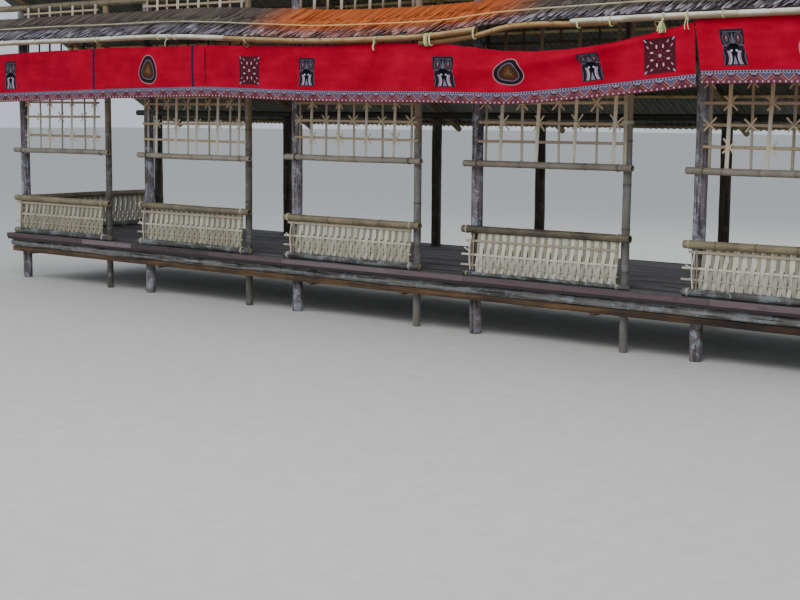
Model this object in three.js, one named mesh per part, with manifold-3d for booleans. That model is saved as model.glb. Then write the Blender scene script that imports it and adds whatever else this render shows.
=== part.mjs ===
import * as THREE from "three";
import { mergeVertices } from "three/addons/utils/BufferGeometryUtils.js";
import Module from "manifold-3d";

// A raised bamboo pavilion: ten front posts and six back posts carry a slatted deck, woven
// railings, lattice panels, a cloth-hung thatched awning and a lean-to metal roof.
// Millimetres. While it is drawn, Y is 0 on the front post line and grows towards the back.

// Plan
const panelCount = 5;
const panelWidth = 1760; // left post to right post of one panel
const doorwayWidth = 760; // open space between two panels
const modulePitch = panelWidth + doorwayWidth;
const houseLength = panelCount * modulePitch - doorwayWidth;
const houseDepth = 2300; // front post line to back post line
const roofOverhang = 450; // roof and awning past the end posts
const backPostX = [-5920, -3300, -740, 800, 3180, 5920]; // uneven, as the real ones stand

// Posts
const barkRadius = 58;
const bambooRadius = 40;
const backPostRadius = 60;
const frontFace = -barkRadius; // the plane that every front piece is lashed against
const roundSides = 12;

// Gaps
const seat = 0.3; // between two pieces that touch
const fuse = 0.5; // how far two pieces of one node sink into each other

// Floor
const deckTop = 600;
const deckThickness = 25;
const deckUnderside = deckTop - deckThickness;
const deckMargin = 200; // past the post lines, front and back
const deckEndMargin = 170;
const notchSlack = 3; // round each post
const joistRadius = 27;
const joistCount = 21;
const joistSides = 8;
const logRadius = 50;
const logMargin = 150;
const middleLogRadius = 55;
const bearerRadius = 45;
const bearerFromPost = 106; // centre of a bearer to the centre of the back post beside it
const underBeam = { thick: 70, tall: 65 };

// Railings
const railRadius = 37.5;
const railTop = 1100;
const railPastPost = 100;
const railPanelThick = 16;

// Lattice
const latticePoleRadius = 32.5;
const latticePoleZ = 1730;
// for each panel: its first column from the left post, the step between columns, and their number
const latticeColumns = [
  [110, 200, 9],
  [110, 200, 9],
  [110, 200, 9],
  [157, 215.6, 8],
  [110, 200, 9],
];
const latticeFirstRow = 215; // above the bottom pole
const latticeRow = 190;
const latticeRows = 9;
const latticeTop = 3555; // just under the top of the front plate
const latticeBar = { wide: 22, thick: 20 };

// Main roof, falling to the back
const roofPitch = THREE.MathUtils.degToRad(30.25);
const plateRadius = 40;
const frontPlateZ = 3550;
const plateProud = 3; // in front of the posts, so that the lattice's back clears them
const frontPlateY = frontFace - plateProud + plateRadius;
const roofFront = -220; // along the slope, from the front plate
const roofBack = 3200;
const rafterRadius = 35;
const purlinRadius = 16;
const purlinCount = 6;
const sheetThick = 10;
const roofInset = 40; // the frame ends this far inside the sheets

// Awning over the front
const awningPitch = THREE.MathUtils.degToRad(25);
const eaveY = -700;
const eaveZ = 3060;
const eaveRadius = 30;
const eaveAxis = -7.5; // square to the slope, from the awning's own line
const awningRafterRadius = 30;
const awningRafterFront = -20; // along the slope, from the eave pole
const awningRafterBack = 816;
const awningTop = 690;
const awningLip = -10;
const thatchThick = 55;
const thatchInset = 20; // thatch, batten and head pole end this far inside the eave pole
const headClear = 1; // head pole to lattice
const battenRadius = 8;
const battenUp = 190;
const battenSkew = THREE.MathUtils.degToRad(0.7); // it runs a little down towards the right
// The eave sags where two of its culms are spliced: X, and how far it has dropped there
const eaveSag = [
  [-6370, 0],
  [-2200, 0],
  [-970, 60],
  [100, 110],
  [1500, 100],
  [2200, 50],
  [3100, 22],
  [4100, 0],
  [6370, 0],
];

// Cloth frieze under the awning
const clothY = -660;
const clothHeights = [610, 590, 540, 500]; // one for each length
const clothThick = 8;
const clothSags = [30, 20, 10, 100, 20]; // between each rafter and the next
const clothSeams = [-6300, -3370, -1650, 4430, 6300];
const clothStep = 315;

const wasm = await Module();
wasm.setup();

const finishes = {
  bark: { color: 0x6f655f, roughness: 0.95 },
  bamboo: { color: 0x8a8172, roughness: 0.6 },
  darkWood: { color: 0x2b241c, roughness: 0.9 },
  edgeBark: { color: 0x8c8680, roughness: 0.95 },
  sawnWood: { color: 0x5c4030, roughness: 0.85 },
  deckBamboo: { color: 0x6e4a42, roughness: 0.8 },
  wovenBamboo: { color: 0xcfc39a, roughness: 0.7 },
  latticeBamboo: { color: 0xb08a6a, roughness: 0.7 },
  paleBamboo: { color: 0xd8d2bc, roughness: 0.5 },
  thatch: { color: 0x7a6a66, roughness: 1 },
  metalSheet: { color: 0x4a4f45, roughness: 0.6, metalness: 0.6 },
  redCloth: { color: 0xb80020, roughness: 0.9 },
};

const pavilion = new THREE.Group();

function addPiece(parent, name, geometry, finish, place = [0, 0, 0]) {
  const mesh = new THREE.Mesh(geometry, new THREE.MeshStandardMaterial(finishes[finish]));
  mesh.name = name;
  mesh.position.set(...place);
  parent.add(mesh);
  return mesh;
}

// Solids that manifold-3d can join and cut

function solidOf(geometry) {
  const plain = geometry.clone();
  plain.deleteAttribute("normal");
  plain.deleteAttribute("uv");
  const merged = mergeVertices(plain, 1e-3);
  return new wasm.Manifold(
    new wasm.Mesh({
      numProp: 3,
      vertProperties: new Float32Array(merged.attributes.position.array),
      triVerts: new Uint32Array(merged.index.array),
    }),
  );
}

function geometryOf(solid) {
  const mesh = solid.getMesh();
  const geometry = new THREE.BufferGeometry();
  geometry.setAttribute("position", new THREE.BufferAttribute(new Float32Array(mesh.vertProperties), 3));
  geometry.setIndex(new THREE.BufferAttribute(new Uint32Array(mesh.triVerts), 1));
  geometry.computeVertexNormals();
  return geometry;
}

function joined(geometries) {
  return geometryOf(geometries.map(solidOf).reduce((whole, next) => whole.add(next)));
}

function cutAway(solid, tools) {
  return tools.map(solidOf).reduce((rest, tool) => rest.subtract(tool), solid);
}

// Round poles and sawn boxes

function poleAlongX(radius, from, to, y, z) {
  const pole = new THREE.CylinderGeometry(radius, radius, to - from, roundSides);
  pole.rotateZ(Math.PI / 2);
  pole.translate((from + to) / 2, y, z);
  return pole;
}

function poleAlongY(radius, from, to, x, z, sides = roundSides) {
  const pole = new THREE.CylinderGeometry(radius, radius, to - from, sides);
  pole.translate(x, (from + to) / 2, z);
  return pole;
}

function standingPole(radius, height) {
  const pole = new THREE.CylinderGeometry(radius, radius, height, roundSides);
  pole.rotateX(Math.PI / 2);
  pole.translate(0, 0, height / 2);
  return pole;
}

function boxBetween(low, high) {
  const size = high.map((value, i) => value - low[i]);
  const box = new THREE.BoxGeometry(...size);
  box.translate(...low.map((value, i) => value + size[i] / 2));
  return box;
}

// Where the posts stand

const endX = houseLength / 2;
const panels = Array.from({ length: panelCount }, (_, i) => {
  const left = -endX + i * modulePitch;
  return { number: i + 1, left, right: left + panelWidth };
});
const bambooY = frontFace + bambooRadius;
const backPlateZ = frontPlateZ - (houseDepth - frontPlateY) * Math.tan(roofPitch);

// Each panel stands between a log with its bark on and a bamboo culm.
function addPosts() {
  const frontHeight = frontPlateZ - plateRadius - seat;
  const backHeight = backPlateZ - plateRadius - seat;
  for (const { number, left, right } of panels) {
    const log = standingPole(barkRadius, frontHeight);
    const culm = standingPole(bambooRadius, frontHeight);
    addPiece(pavilion, `log_post_${number}`, log, "bark", [left, 0, 0]);
    addPiece(pavilion, `bamboo_post_${number}`, culm, "bamboo", [right, bambooY, 0]);
  }
  backPostX.forEach((x, i) => {
    const post = standingPole(backPostRadius, backHeight);
    addPiece(pavilion, `back_post_${i + 1}`, post, "darkWood", [x, houseDepth, 0]);
  });
}

// Going down: deck, joists, edge logs and middle log, sawn beams fixed to the posts' outer faces.
const joistZ = deckUnderside - joistRadius + fuse;
const logTop = joistZ - joistRadius - seat;
const frontLogY = frontFace - logRadius - fuse;
const backFace = houseDepth + backPostRadius;
const backLogY = backFace + logRadius + fuse;

function addLogs() {
  const reach = endX + logMargin;
  const edgeLog = () => poleAlongX(logRadius, -reach, reach, 0, 0);
  const middleLog = poleAlongX(middleLogRadius, -reach, reach, 0, 0);
  const beamTop = logTop - 2 * logRadius - seat;
  const beam = () => boxBetween([-reach, 0, -underBeam.tall], [reach, underBeam.thick, 0]);
  addPiece(pavilion, "edge_log_front", edgeLog(), "edgeBark", [0, frontLogY, logTop - logRadius]);
  addPiece(pavilion, "edge_log_back", edgeLog(), "edgeBark", [0, backLogY, logTop - logRadius]);
  addPiece(pavilion, "middle_log", middleLog, "bamboo", [0, houseDepth / 2, logTop - middleLogRadius]);
  addPiece(pavilion, "under_beam_front", beam(), "sawnWood", [0, frontFace - fuse - underBeam.thick, beamTop]);
  addPiece(pavilion, "under_beam_back", beam(), "sawnWood", [0, backFace + fuse, beamTop]);
}

// Cross bearers run between the two beams and carry the middle log. Each is beside a back post,
// on the side towards the middle of the house.
function addBearers() {
  const z = logTop - 2 * middleLogRadius - seat - bearerRadius;
  backPostX.forEach((postX, i) => {
    const x = postX - Math.sign(postX) * bearerFromPost;
    const bearer = poleAlongY(bearerRadius, frontFace, backFace, 0, 0);
    addPiece(pavilion, `cross_bearer_${i + 1}`, bearer, "bamboo", [x, 0, z]);
  });
}

// The deck is cut square round each post, and its joists are part of it.
function addDeck() {
  const reach = endX + deckEndMargin;
  const front = -deckMargin;
  const back = houseDepth + deckMargin;
  const plate = boxBetween([-reach, front, deckUnderside], [reach, back, deckTop]);
  const notch = (x, y, radius) => {
    const half = radius + notchSlack;
    const low = joistZ - 2 * joistRadius;
    return boxBetween([x - half, y - half, low], [x + half, y + half, deckTop + deckThickness]);
  };
  const notches = [
    ...panels.map(({ left }) => notch(left, 0, barkRadius)),
    ...panels.map(({ right }) => notch(right, bambooY, bambooRadius)),
    ...backPostX.map((x) => notch(x, houseDepth, backPostRadius)),
  ];
  const firstJoist = -endX - barkRadius - joistRadius - notchSlack;
  const joistGap = (-2 * firstJoist) / (joistCount - 1);
  const joists = Array.from({ length: joistCount }, (_, i) =>
    poleAlongY(joistRadius, front + notchSlack, back - notchSlack, firstJoist + i * joistGap, joistZ, joistSides),
  );
  const deck = [plate, ...joists].map(solidOf).reduce((whole, next) => whole.add(next));
  addPiece(pavilion, "deck", geometryOf(cutAway(deck, notches)), "deckBamboo");
}

// A railing is two poles with a woven panel between them.
const railHigh = railTop - railRadius;
const railLow = deckTop + railRadius + seat;

function railingAlongX(from, to) {
  const half = railPanelThick / 2;
  return joined([
    poleAlongX(railRadius, from, to, 0, railLow),
    poleAlongX(railRadius, from, to, 0, railHigh),
    boxBetween([from + railPastPost, -half, railLow], [to - railPastPost, half, railHigh]),
  ]);
}

function railingAlongY(from, to) {
  const half = railPanelThick / 2;
  return joined([
    poleAlongY(railRadius, from, to, 0, railLow),
    poleAlongY(railRadius, from, to, 0, railHigh),
    boxBetween([-half, from + railPastPost, railLow], [half, to - railPastPost, railHigh]),
  ]);
}

function addRailings() {
  const frontY = frontFace - railRadius - fuse;
  for (const { number, left, right } of panels) {
    const railing = railingAlongX(left - railPastPost, right + railPastPost);
    addPiece(pavilion, `front_railing_${number}`, railing, "wovenBamboo", [0, frontY, 0]);
  }
  const endOut = endX + backPostRadius + railRadius + fuse;
  const endRailing = () => railingAlongY(frontFace, backFace);
  addPiece(pavilion, "left_railing", endRailing(), "wovenBamboo", [-endOut, 0, 0]);
  addPiece(pavilion, "right_railing", endRailing(), "wovenBamboo", [endOut, 0, 0]);
}

// A lattice panel hangs over each railing, from its own bottom pole up to the front plate.
function latticeGrid([first, step, count]) {
  const half = latticeBar.wide / 2;
  const top = latticeTop - latticePoleZ;
  const bars = [];
  for (let i = 0; i < count; i++) {
    const x = first + i * step;
    bars.push(boxBetween([x - half, -latticeBar.thick, 0], [x + half, 0, top]));
  }
  for (let j = 1; j <= latticeRows; j++) {
    const z = latticeFirstRow + (j - 1) * latticeRow;
    bars.push(boxBetween([-half, -latticeBar.thick, z - half], [panelWidth + half, 0, z + half]));
  }
  return bars;
}

function addLattices() {
  const poleY = frontFace - latticePoleRadius - fuse;
  const gridBack = frontPlateY - plateRadius - seat;
  for (const { number, left, right } of panels) {
    const bars = latticeGrid(latticeColumns[number - 1]);
    bars.forEach((bar) => bar.translate(left, gridBack - poleY, 0));
    const pole = poleAlongX(latticePoleRadius, left - railPastPost, right + railPastPost, 0, 0);
    addPiece(pavilion, `lattice_${number}`, joined([...bars, pole]), "latticeBamboo", [0, poleY, latticePoleZ]);
  }
}

// Plates lie on the post heads; the rafters lie on the plates.
function addPlates() {
  const reach = endX + roofOverhang;
  const plate = () => poleAlongX(plateRadius, -reach, reach, 0, 0);
  addPiece(pavilion, "front_plate", plate(), "paleBamboo", [0, frontPlateY, frontPlateZ]);
  addPiece(pavilion, "back_plate", plate(), "paleBamboo", [0, houseDepth, backPlateZ]);
}

// Inside this group Y runs down the slope from the front plate and Z stands square to it.
function addRoof() {
  const roof = new THREE.Group();
  roof.position.set(0, frontPlateY, frontPlateZ);
  roof.rotation.x = -roofPitch;
  pavilion.add(roof);
  const reach = endX + roofOverhang;
  const rafterZ = plateRadius + seat + rafterRadius;
  const purlinZ = rafterZ + rafterRadius + purlinRadius - fuse;
  const sheetLow = purlinZ + purlinRadius + seat;
  const rafters = backPostX.map((x) =>
    poleAlongY(rafterRadius, roofFront + roofInset, roofBack - roofInset, x, rafterZ),
  );
  const firstPurlin = roofFront + 2 * roofInset;
  const purlinGap = (roofBack - 2 * roofInset - firstPurlin) / (purlinCount - 1);
  const purlins = Array.from({ length: purlinCount }, (_, i) =>
    poleAlongX(purlinRadius, roofInset - reach, reach - roofInset, firstPurlin + i * purlinGap, purlinZ),
  );
  addPiece(roof, "roof_frame", joined([...rafters, ...purlins]), "paleBamboo");
  const sheet = boxBetween([-reach, roofFront, 0], [reach, roofBack, sheetThick]);
  addPiece(roof, "roof_sheets", sheet, "metalSheet", [0, 0, sheetLow]);
}

// The eave's own shape
function eaveDrop(x) {
  const next = Math.max(
    1,
    eaveSag.findIndex(([stop]) => stop >= x),
  );
  const [[from, low], [to, high]] = eaveSag.slice(next - 1, next + 1);
  return THREE.MathUtils.mapLinear(x, from, to, low, high);
}

function eaveStops(reach) {
  return [-reach, ...eaveSag.slice(1, -1).map(([x]) => x), reach];
}

// A pole along X with a ring of points at each stop of the eave
function saggingPole(radius, reach) {
  const stops = eaveStops(reach);
  const side = stops.map((x) => new THREE.Vector2(radius, x));
  const outline = [new THREE.Vector2(0, -reach), ...side, new THREE.Vector2(0, reach)];
  const pole = new THREE.LatheGeometry(outline, roundSides);
  pole.rotateZ(-Math.PI / 2);
  return pole;
}

// Inside the awning's group, straight down is partly down the slope and partly into it.
const downSlope = Math.sin(awningPitch);
const intoSlope = Math.cos(awningPitch);

// Whatever lies along the eave drops straight down with it.
function sagged(geometry, into = intoSlope) {
  const points = geometry.attributes.position;
  for (let i = 0; i < points.count; i++) {
    const drop = eaveDrop(points.getX(i));
    points.setY(i, points.getY(i) - drop * downSlope);
    points.setZ(i, points.getZ(i) - drop * into);
  }
  return geometry;
}

// Inside this group Y runs up the slope from the eave pole.
const awningRafterX = panels.map(({ left }) => left - barkRadius - awningRafterRadius - seat);
awningRafterX.push(endX + bambooRadius + awningRafterRadius + seat);

// The outline already dips into the slope, so the slab then only slides down it.
function thatchSlab(reach) {
  const line = (height) => eaveStops(reach).map((x) => new THREE.Vector2(x, height - eaveDrop(x) * intoSlope));
  const slab = new THREE.ExtrudeGeometry(new THREE.Shape([...line(0), ...line(thatchThick).reverse()]), {
    depth: awningTop - awningLip,
    bevelEnabled: false,
  });
  slab.rotateX(Math.PI / 2);
  slab.translate(0, awningTop, 0);
  return sagged(slab, 0);
}

function addAwning() {
  const awning = new THREE.Group();
  awning.position.set(0, eaveY, eaveZ);
  awning.rotation.x = awningPitch;
  pavilion.add(awning);
  const reach = endX + roofOverhang;
  const rafterZ = eaveAxis - eaveRadius - awningRafterRadius - seat;
  const headZ = rafterZ + awningRafterRadius + eaveRadius - fuse;
  const headFront = frontPlateY - plateRadius - latticeBar.thick - headClear;
  const headY = (headFront - eaveRadius - eaveY + headZ * downSlope) / intoSlope;
  const thatchLow = eaveAxis + eaveRadius + fuse;
  const rafters = awningRafterX.map((x) => {
    const rafter = poleAlongY(awningRafterRadius, awningRafterFront, awningRafterBack, x, rafterZ);
    const drop = eaveDrop(x);
    rafter.translate(0, -drop * downSlope, -drop * intoSlope);
    return rafter;
  });
  const head = saggingPole(eaveRadius, reach - thatchInset);
  head.translate(0, headY, headZ);
  addPiece(awning, "eave_pole", sagged(saggingPole(eaveRadius, reach)), "paleBamboo", [0, 0, eaveAxis]);
  addPiece(awning, "awning_frame", joined([...rafters, sagged(head)]), "paleBamboo");
  addPiece(awning, "awning_thatch", thatchSlab(reach - thatchInset), "thatch", [0, 0, thatchLow]);
  const batten = saggingPole(battenRadius, reach - thatchInset);
  batten.rotateZ(-battenSkew);
  const battenZ = thatchLow + thatchThick + battenRadius + seat;
  addPiece(awning, "thatch_batten", sagged(batten), "paleBamboo", [0, battenUp, battenZ]);
}

// The cloth is tied up at the awning's rafters, drops with the eave and sags between them.
function clothEdge(x) {
  const ties = awningRafterX;
  const next = ties.findIndex((tie) => tie > x);
  if (next <= 0) return -eaveDrop(x);
  const along = (x - ties[next - 1]) / (ties[next] - ties[next - 1]);
  return -eaveDrop(x) - clothSags[next - 1] * 4 * along * (1 - along);
}

function clothLength(from, to, height) {
  const stops = [from, ...awningRafterX.filter((x) => x > from && x < to), to];
  const line = [];
  for (let i = 1; i < stops.length; i++) {
    const steps = Math.ceil((stops[i] - stops[i - 1]) / clothStep);
    for (let k = i === 1 ? 0 : 1; k <= steps; k++) {
      line.push(stops[i - 1] + ((stops[i] - stops[i - 1]) * k) / steps);
    }
  }
  const upper = line.map((x) => new THREE.Vector2(x, clothEdge(x)));
  const lower = line.map((x) => new THREE.Vector2(x, clothEdge(x) - height)).reverse();
  const cloth = new THREE.ExtrudeGeometry(new THREE.Shape([...upper, ...lower]), {
    depth: clothThick,
    bevelEnabled: false,
  });
  cloth.rotateX(Math.PI / 2);
  return cloth;
}

function addCloth() {
  const frontSide = clothY - clothThick - eaveY;
  const underRafters = (2 * awningRafterRadius + eaveRadius - eaveAxis + seat) / Math.cos(awningPitch);
  const clothTop = eaveZ + frontSide * Math.tan(awningPitch) - underRafters - seat;
  for (let i = 1; i < clothSeams.length; i++) {
    const cloth = clothLength(clothSeams[i - 1] + seat / 2, clothSeams[i] - seat / 2, clothHeights[i - 1]);
    addPiece(pavilion, `cloth_frieze_${i}`, cloth, "redCloth", [0, clothY, clothTop]);
  }
}

addPosts();
addLogs();
addBearers();
addDeck();
addRailings();
addLattices();
addPlates();
addRoof();
addAwning();
addCloth();

// The origin is on the ground under the middle of the whole pavilion.
pavilion.updateMatrixWorld(true);
const extent = new THREE.Box3().setFromObject(pavilion, true);
pavilion.position.y = -(extent.min.y + extent.max.y) / 2;

export default pavilion;
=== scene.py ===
import math
import random
from functools import partialmethod

import bmesh
import bpy
from mathutils import Matrix, Vector, noise


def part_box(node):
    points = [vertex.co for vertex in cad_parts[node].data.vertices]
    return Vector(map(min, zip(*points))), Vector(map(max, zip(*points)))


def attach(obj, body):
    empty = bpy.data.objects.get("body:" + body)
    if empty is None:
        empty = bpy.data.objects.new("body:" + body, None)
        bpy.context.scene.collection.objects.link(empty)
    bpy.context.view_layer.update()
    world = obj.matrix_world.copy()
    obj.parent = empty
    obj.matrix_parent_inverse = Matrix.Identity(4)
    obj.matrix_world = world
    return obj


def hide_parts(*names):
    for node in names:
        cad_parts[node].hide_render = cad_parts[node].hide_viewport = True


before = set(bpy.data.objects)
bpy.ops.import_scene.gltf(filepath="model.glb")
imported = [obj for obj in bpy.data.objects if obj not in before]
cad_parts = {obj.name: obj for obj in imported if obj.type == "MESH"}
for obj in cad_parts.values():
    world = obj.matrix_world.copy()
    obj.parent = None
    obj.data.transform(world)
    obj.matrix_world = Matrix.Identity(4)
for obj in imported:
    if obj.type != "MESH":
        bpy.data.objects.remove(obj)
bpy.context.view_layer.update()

chance = random.Random(21)
vary = chance.uniform
across = Vector((1, 0, 0))
back = Vector((0, 1, 0))
up = Vector((0, 0, 1))


def at(x, y, z):
    return Vector((x, y, z))


def setDown(name, data):
    thing = bpy.data.objects.new(name, data)
    bpy.context.scene.collection.objects.link(thing)
    return thing


# Camera, at the photo's place, in metres, degrees and millimetres of film
view = {
    "place": at(10.7331, -12.9597, 2.222),
    "turn": 40.272,
    "dip": 7.176,
    "roll": 0.424,
    "lens": 66.85,
    "film": 36.0,
    "reach": 200,
}


def setCamera():
    turn, dip, roll = (math.radians(view[key]) for key in ("turn", "dip", "roll"))
    ahead = at(-math.sin(turn) * math.cos(dip), math.cos(turn) * math.cos(dip), -math.sin(dip))
    level = at(math.cos(turn), math.sin(turn), 0)
    upright = level.cross(ahead)
    right = level * math.cos(roll) + upright * math.sin(roll)
    top = upright * math.cos(roll) - level * math.sin(roll)
    lens = bpy.data.cameras.new("view_lens")
    lens.sensor_width = view["film"]
    lens.lens = view["lens"]
    lens.clip_end = view["reach"]
    eye = setDown("view_camera", lens)
    eye.matrix_world = Matrix.Translation(view["place"]) @ Matrix((right, top, -ahead)).transposed().to_4x4()
    bpy.context.scene.camera = eye


setCamera()
print("camera set")


# Places taken from the frame
def corners(node):
    return [Vector(corner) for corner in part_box(node)]


def middle(node):
    low, high = corners(node)
    return (low + high) / 2


def half(node):
    low, high = corners(node)
    return (high - low) / 2


def ends(node, axis):
    # the two ends of a node's middle line
    reach = axis * half(node).dot(axis)
    return middle(node) - reach, middle(node) + reach


def postRow(kind, count):
    # a row of posts: places along the house, line and radius
    first = f"{kind}_post_1"
    return [middle(f"{kind}_post_{i}").x for i in range(1, count + 1)], middle(first).y, half(first).x


panels = range(1, 6)
postRows = [postRow("log", 5), postRow("bamboo", 5), postRow("back", 6)]
leftPosts, postLine, postRadius = postRows[0]
rightPosts, culmLine, culmRadius = postRows[1]
backPosts = postRows[2][0]

# The two slopes: each has its own axes, X along the house, Y up or down the slope to the back, Z outward
roofSlope = math.radians(-30.25)
awningSlope = math.radians(25)
eaveLine = at(0, postLine - 0.7, 3.06)
roofPlace = Matrix.Translation((0, *middle("front_plate").yz)) @ Matrix.Rotation(roofSlope, 4, "X")
awningPlace = Matrix.Translation(eaveLine) @ Matrix.Rotation(awningSlope, 4, "X")

# How far the awning hangs low along the house: place and drop
eaveSag = ((-6.37, 0), (-3.4, 0), (-2.2, 0), (-0.97, 0.06), (0.1, 0.11), (1.5, 0.10), (2.2, 0.05),
           (3.1, 0.022), (4.1, 0), (5.2, 0), (6.37, 0))


def smoothLine(points, x):
    # a Catmull-Rom curve through the points
    knots = [points[0], *points, points[-1]]
    for i in range(1, len(knots) - 2):
        if x <= knots[i + 1][0] or i == len(knots) - 3:
            before, start, end, after = knots[i - 1:i + 3]
            span = end[0] - start[0]
            t = (x - start[0]) / span
            leave = (end[1] - before[1]) / max(end[0] - before[0], 1e-6) * span
            arrive = (after[1] - start[1]) / max(after[0] - start[0], 1e-6) * span
            return ((2 * t ** 3 - 3 * t ** 2 + 1) * start[1] + (t ** 3 - 2 * t ** 2 + t) * leave
                    + (3 * t ** 2 - 2 * t ** 3) * end[1] + (t ** 3 - t ** 2) * arrive)


def sagged(part):
    for vert in part.verts:
        vert.co.z -= smoothLine(eaveSag, vert.co.x)
    return part


# Pieces: each small part has a mesh of its own, and is then dropped into its piece
holder = bpy.data.meshes.new("part_holder")


def freshMesh():
    shape = bmesh.new()
    shape.verts.layers.float.new("shade")
    shape.verts.layers.float.new("ring")
    return shape


def closePiece(name, shape, surfaces, nodes, sharp):
    mesh = bpy.data.meshes.new(name)
    shape.to_mesh(mesh)
    shape.free()
    for surface in surfaces:
        mesh.materials.append(surface)
    mesh.shade_smooth()
    mesh.set_sharp_from_angle(angle=math.radians(sharp))
    piece = setDown(name, mesh)
    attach(piece, "root")
    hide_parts(*nodes)
    return piece


def makePiece(name, parts, surface, slot, *nodes, sharp=40, ends=()):
    # a part comes alone, or with its shade: one tone, or a rule that gives it from the point
    shape = freshMesh()
    for part in parts:
        part, shade = part if isinstance(part, tuple) else (part, chance.random())
        layer = part.verts.layers.float["shade"]
        for vert in part.verts:
            vert[layer] = shade(vert.co) if callable(shade) else shade
        part.to_mesh(holder)
        part.free()
        shape.from_mesh(holder)
    closePiece(name, shape, (surface, *ends), nodes, sharp)


def makeLog(name, part, surface, slot, node):
    makePiece(name, [part], surface, slot, node, sharp=60, ends=[sawnEnd])


def moved(part, matrix):
    bmesh.ops.transform(part, matrix=matrix, verts=part.verts[:])
    return part


def aimed(part, foot, head):
    # moves a part made along +Z from the origin to run from foot to head
    return moved(part, Matrix.Translation(foot) @ (head - foot).to_track_quat("Z", "Y").to_matrix().to_4x4())


def spun(part, geometry, steps):
    # a full turn about Z
    bmesh.ops.spin(part, geom=geometry, cent=(0, 0, 0), axis=(0, 0, 1), dvec=(0, 0, 0),
                   angle=math.tau, steps=steps, use_merge=True, use_duplicate=False)
    bmesh.ops.remove_doubles(part, verts=part.verts[:], dist=1e-5)
    bmesh.ops.recalc_face_normals(part, faces=part.faces[:])
    return part


def turned(outline, sides):
    # spins an outline of radii and heights
    part = freshMesh()
    points = [part.verts.new((radius, 0, height)) for radius, height in outline]
    return spun(part, points + [part.edges.new(pair) for pair in zip(points, points[1:])], sides)


culmShape = {
    "wall": 0.72,       # inner radius as a share of the outer
    "hollow": 0.05,     # depth of the open end
    "rim": 0.004,
    "ring": 0.11,       # plain rings between the nodes
    "wander": 0.008,
    "node": ((-0.016, 1.0), (-0.004, 1.07), (0.0, 1.01), (0.004, 1.06), (0.018, 0.99)),
}


def culm(foot, head, radius, sides, spacing=0.36, bow=0.004):
    # a bamboo pole with node rings and open cut ends
    length = (head - foot).length
    inner = radius * culmShape["wall"]
    lip = radius * 0.96
    rim = culmShape["rim"]
    depth = min(culmShape["hollow"], length / 4)
    wander = culmShape["wander"] if length > 1 else 0
    nodes = []
    place = spacing * vary(0.3, 0.9)
    while place < length - 0.05:
        nodes.append(place)
        place += spacing * vary(0.85, 1.15)
    outline = [(0, depth), (inner, depth), (inner, 0), (lip, 0), (radius, rim)]
    last = rim
    for place in (*nodes, length):
        rings = int((place - last) / culmShape["ring"])
        outline += [(radius, last + (place - last) * ring / (rings + 1)) for ring in range(1, rings + 1)]
        if place < length:
            outline += [(radius * swell, place + step) for step, swell in culmShape["node"]]
        last = place
    outline += [(radius, length - rim), (lip, length), (inner, length)]
    outline += [(inner, length - depth), (0, length - depth)]
    part = turned(outline, sides)
    ring = part.verts.layers.float["ring"]
    lean = vary(0, math.tau)
    for vert in part.verts:
        along = vert.co.z
        vert[ring] = float(min((abs(along - place) for place in nodes), default=1) < 0.006)
        share = math.sin(math.pi * along / length) * bow
        vert.co.x += share * math.cos(lean) + wander * noise.noise(at(along * 0.8, lean, 0))
        vert.co.y += share * math.sin(lean) + wander * noise.noise(at(along * 0.8, lean, 7))
    return aimed(part, foot, head)


barkShape = {"step": 0.06, "bevel": 0.006}


def barkLog(foot, head, radius, sides, rough=0.07, wander=0.006):
    # a log with its bark on: lengthwise ridges and a slightly crooked run; sawn ends are finish 1
    length = (head - foot).length
    rows = max(2, round(length / barkShape["step"]))
    edge = barkShape["bevel"]
    outline = [(0, 0), (radius - edge, 0), (radius, edge)]
    outline += [(radius, length * row / rows) for row in range(1, rows)]
    outline += [(radius, length - edge), (radius - edge, length), (0, length)]
    part = turned(outline, sides)
    for face in part.faces:
        if abs(face.normal.z) > 0.9:
            face.material_index = 1
    shift = Vector([vary(0, 50) for axis in range(3)])
    for vert in part.verts:
        spoke = at(vert.co.x, vert.co.y, 0)
        along = vert.co.z
        ridges = noise.fractal(spoke.normalized() * 1.7 + up * along * 1.6 + shift, 0.8, 2.0, 3)
        knots = noise.noise(spoke.normalized() * 0.8 + up * along * 4 + shift)
        vert.co += spoke * rough * (ridges + 0.6 * knots)
        vert.co.x += wander * noise.noise(at(along * 0.9, 0, 0) + shift)
        vert.co.y += wander * noise.noise(at(0, along * 0.9, 9) + shift)
    return aimed(part, foot, head)


def block(matrix):
    part = freshMesh()
    bmesh.ops.create_cube(part, size=1)
    return moved(part, matrix)


def strip(foot, head, out, width, thick, cuts, crown, sway=None, tip=1.0):
    # a split strip: flat back at foot and head, its face crowned toward out
    along = (head - foot).normalized()
    side = out.cross(along).normalized()
    length = (head - foot).length
    part = block(Matrix.Diagonal((width, thick, length, 1)) @ Matrix.Translation((0, 0.5, 0.5)))
    runs = [edge for edge in part.edges if abs(edge.verts[0].co.z - edge.verts[1].co.z) > 1e-6]
    bmesh.ops.subdivide_edges(part, edges=runs, cuts=cuts, use_grid_fill=True)
    for vert in part.verts:
        share = vert.co.z / length
        if vert.co.y > thick / 2:
            vert.co.x *= crown
        if share > 0.99:
            vert.co.x *= tip
        if sway:
            vert.co.y += sway(share)
    basis = Matrix((side, along.cross(side), along)).transposed().to_4x4()
    return moved(part, Matrix.Translation(foot) @ basis)


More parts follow.
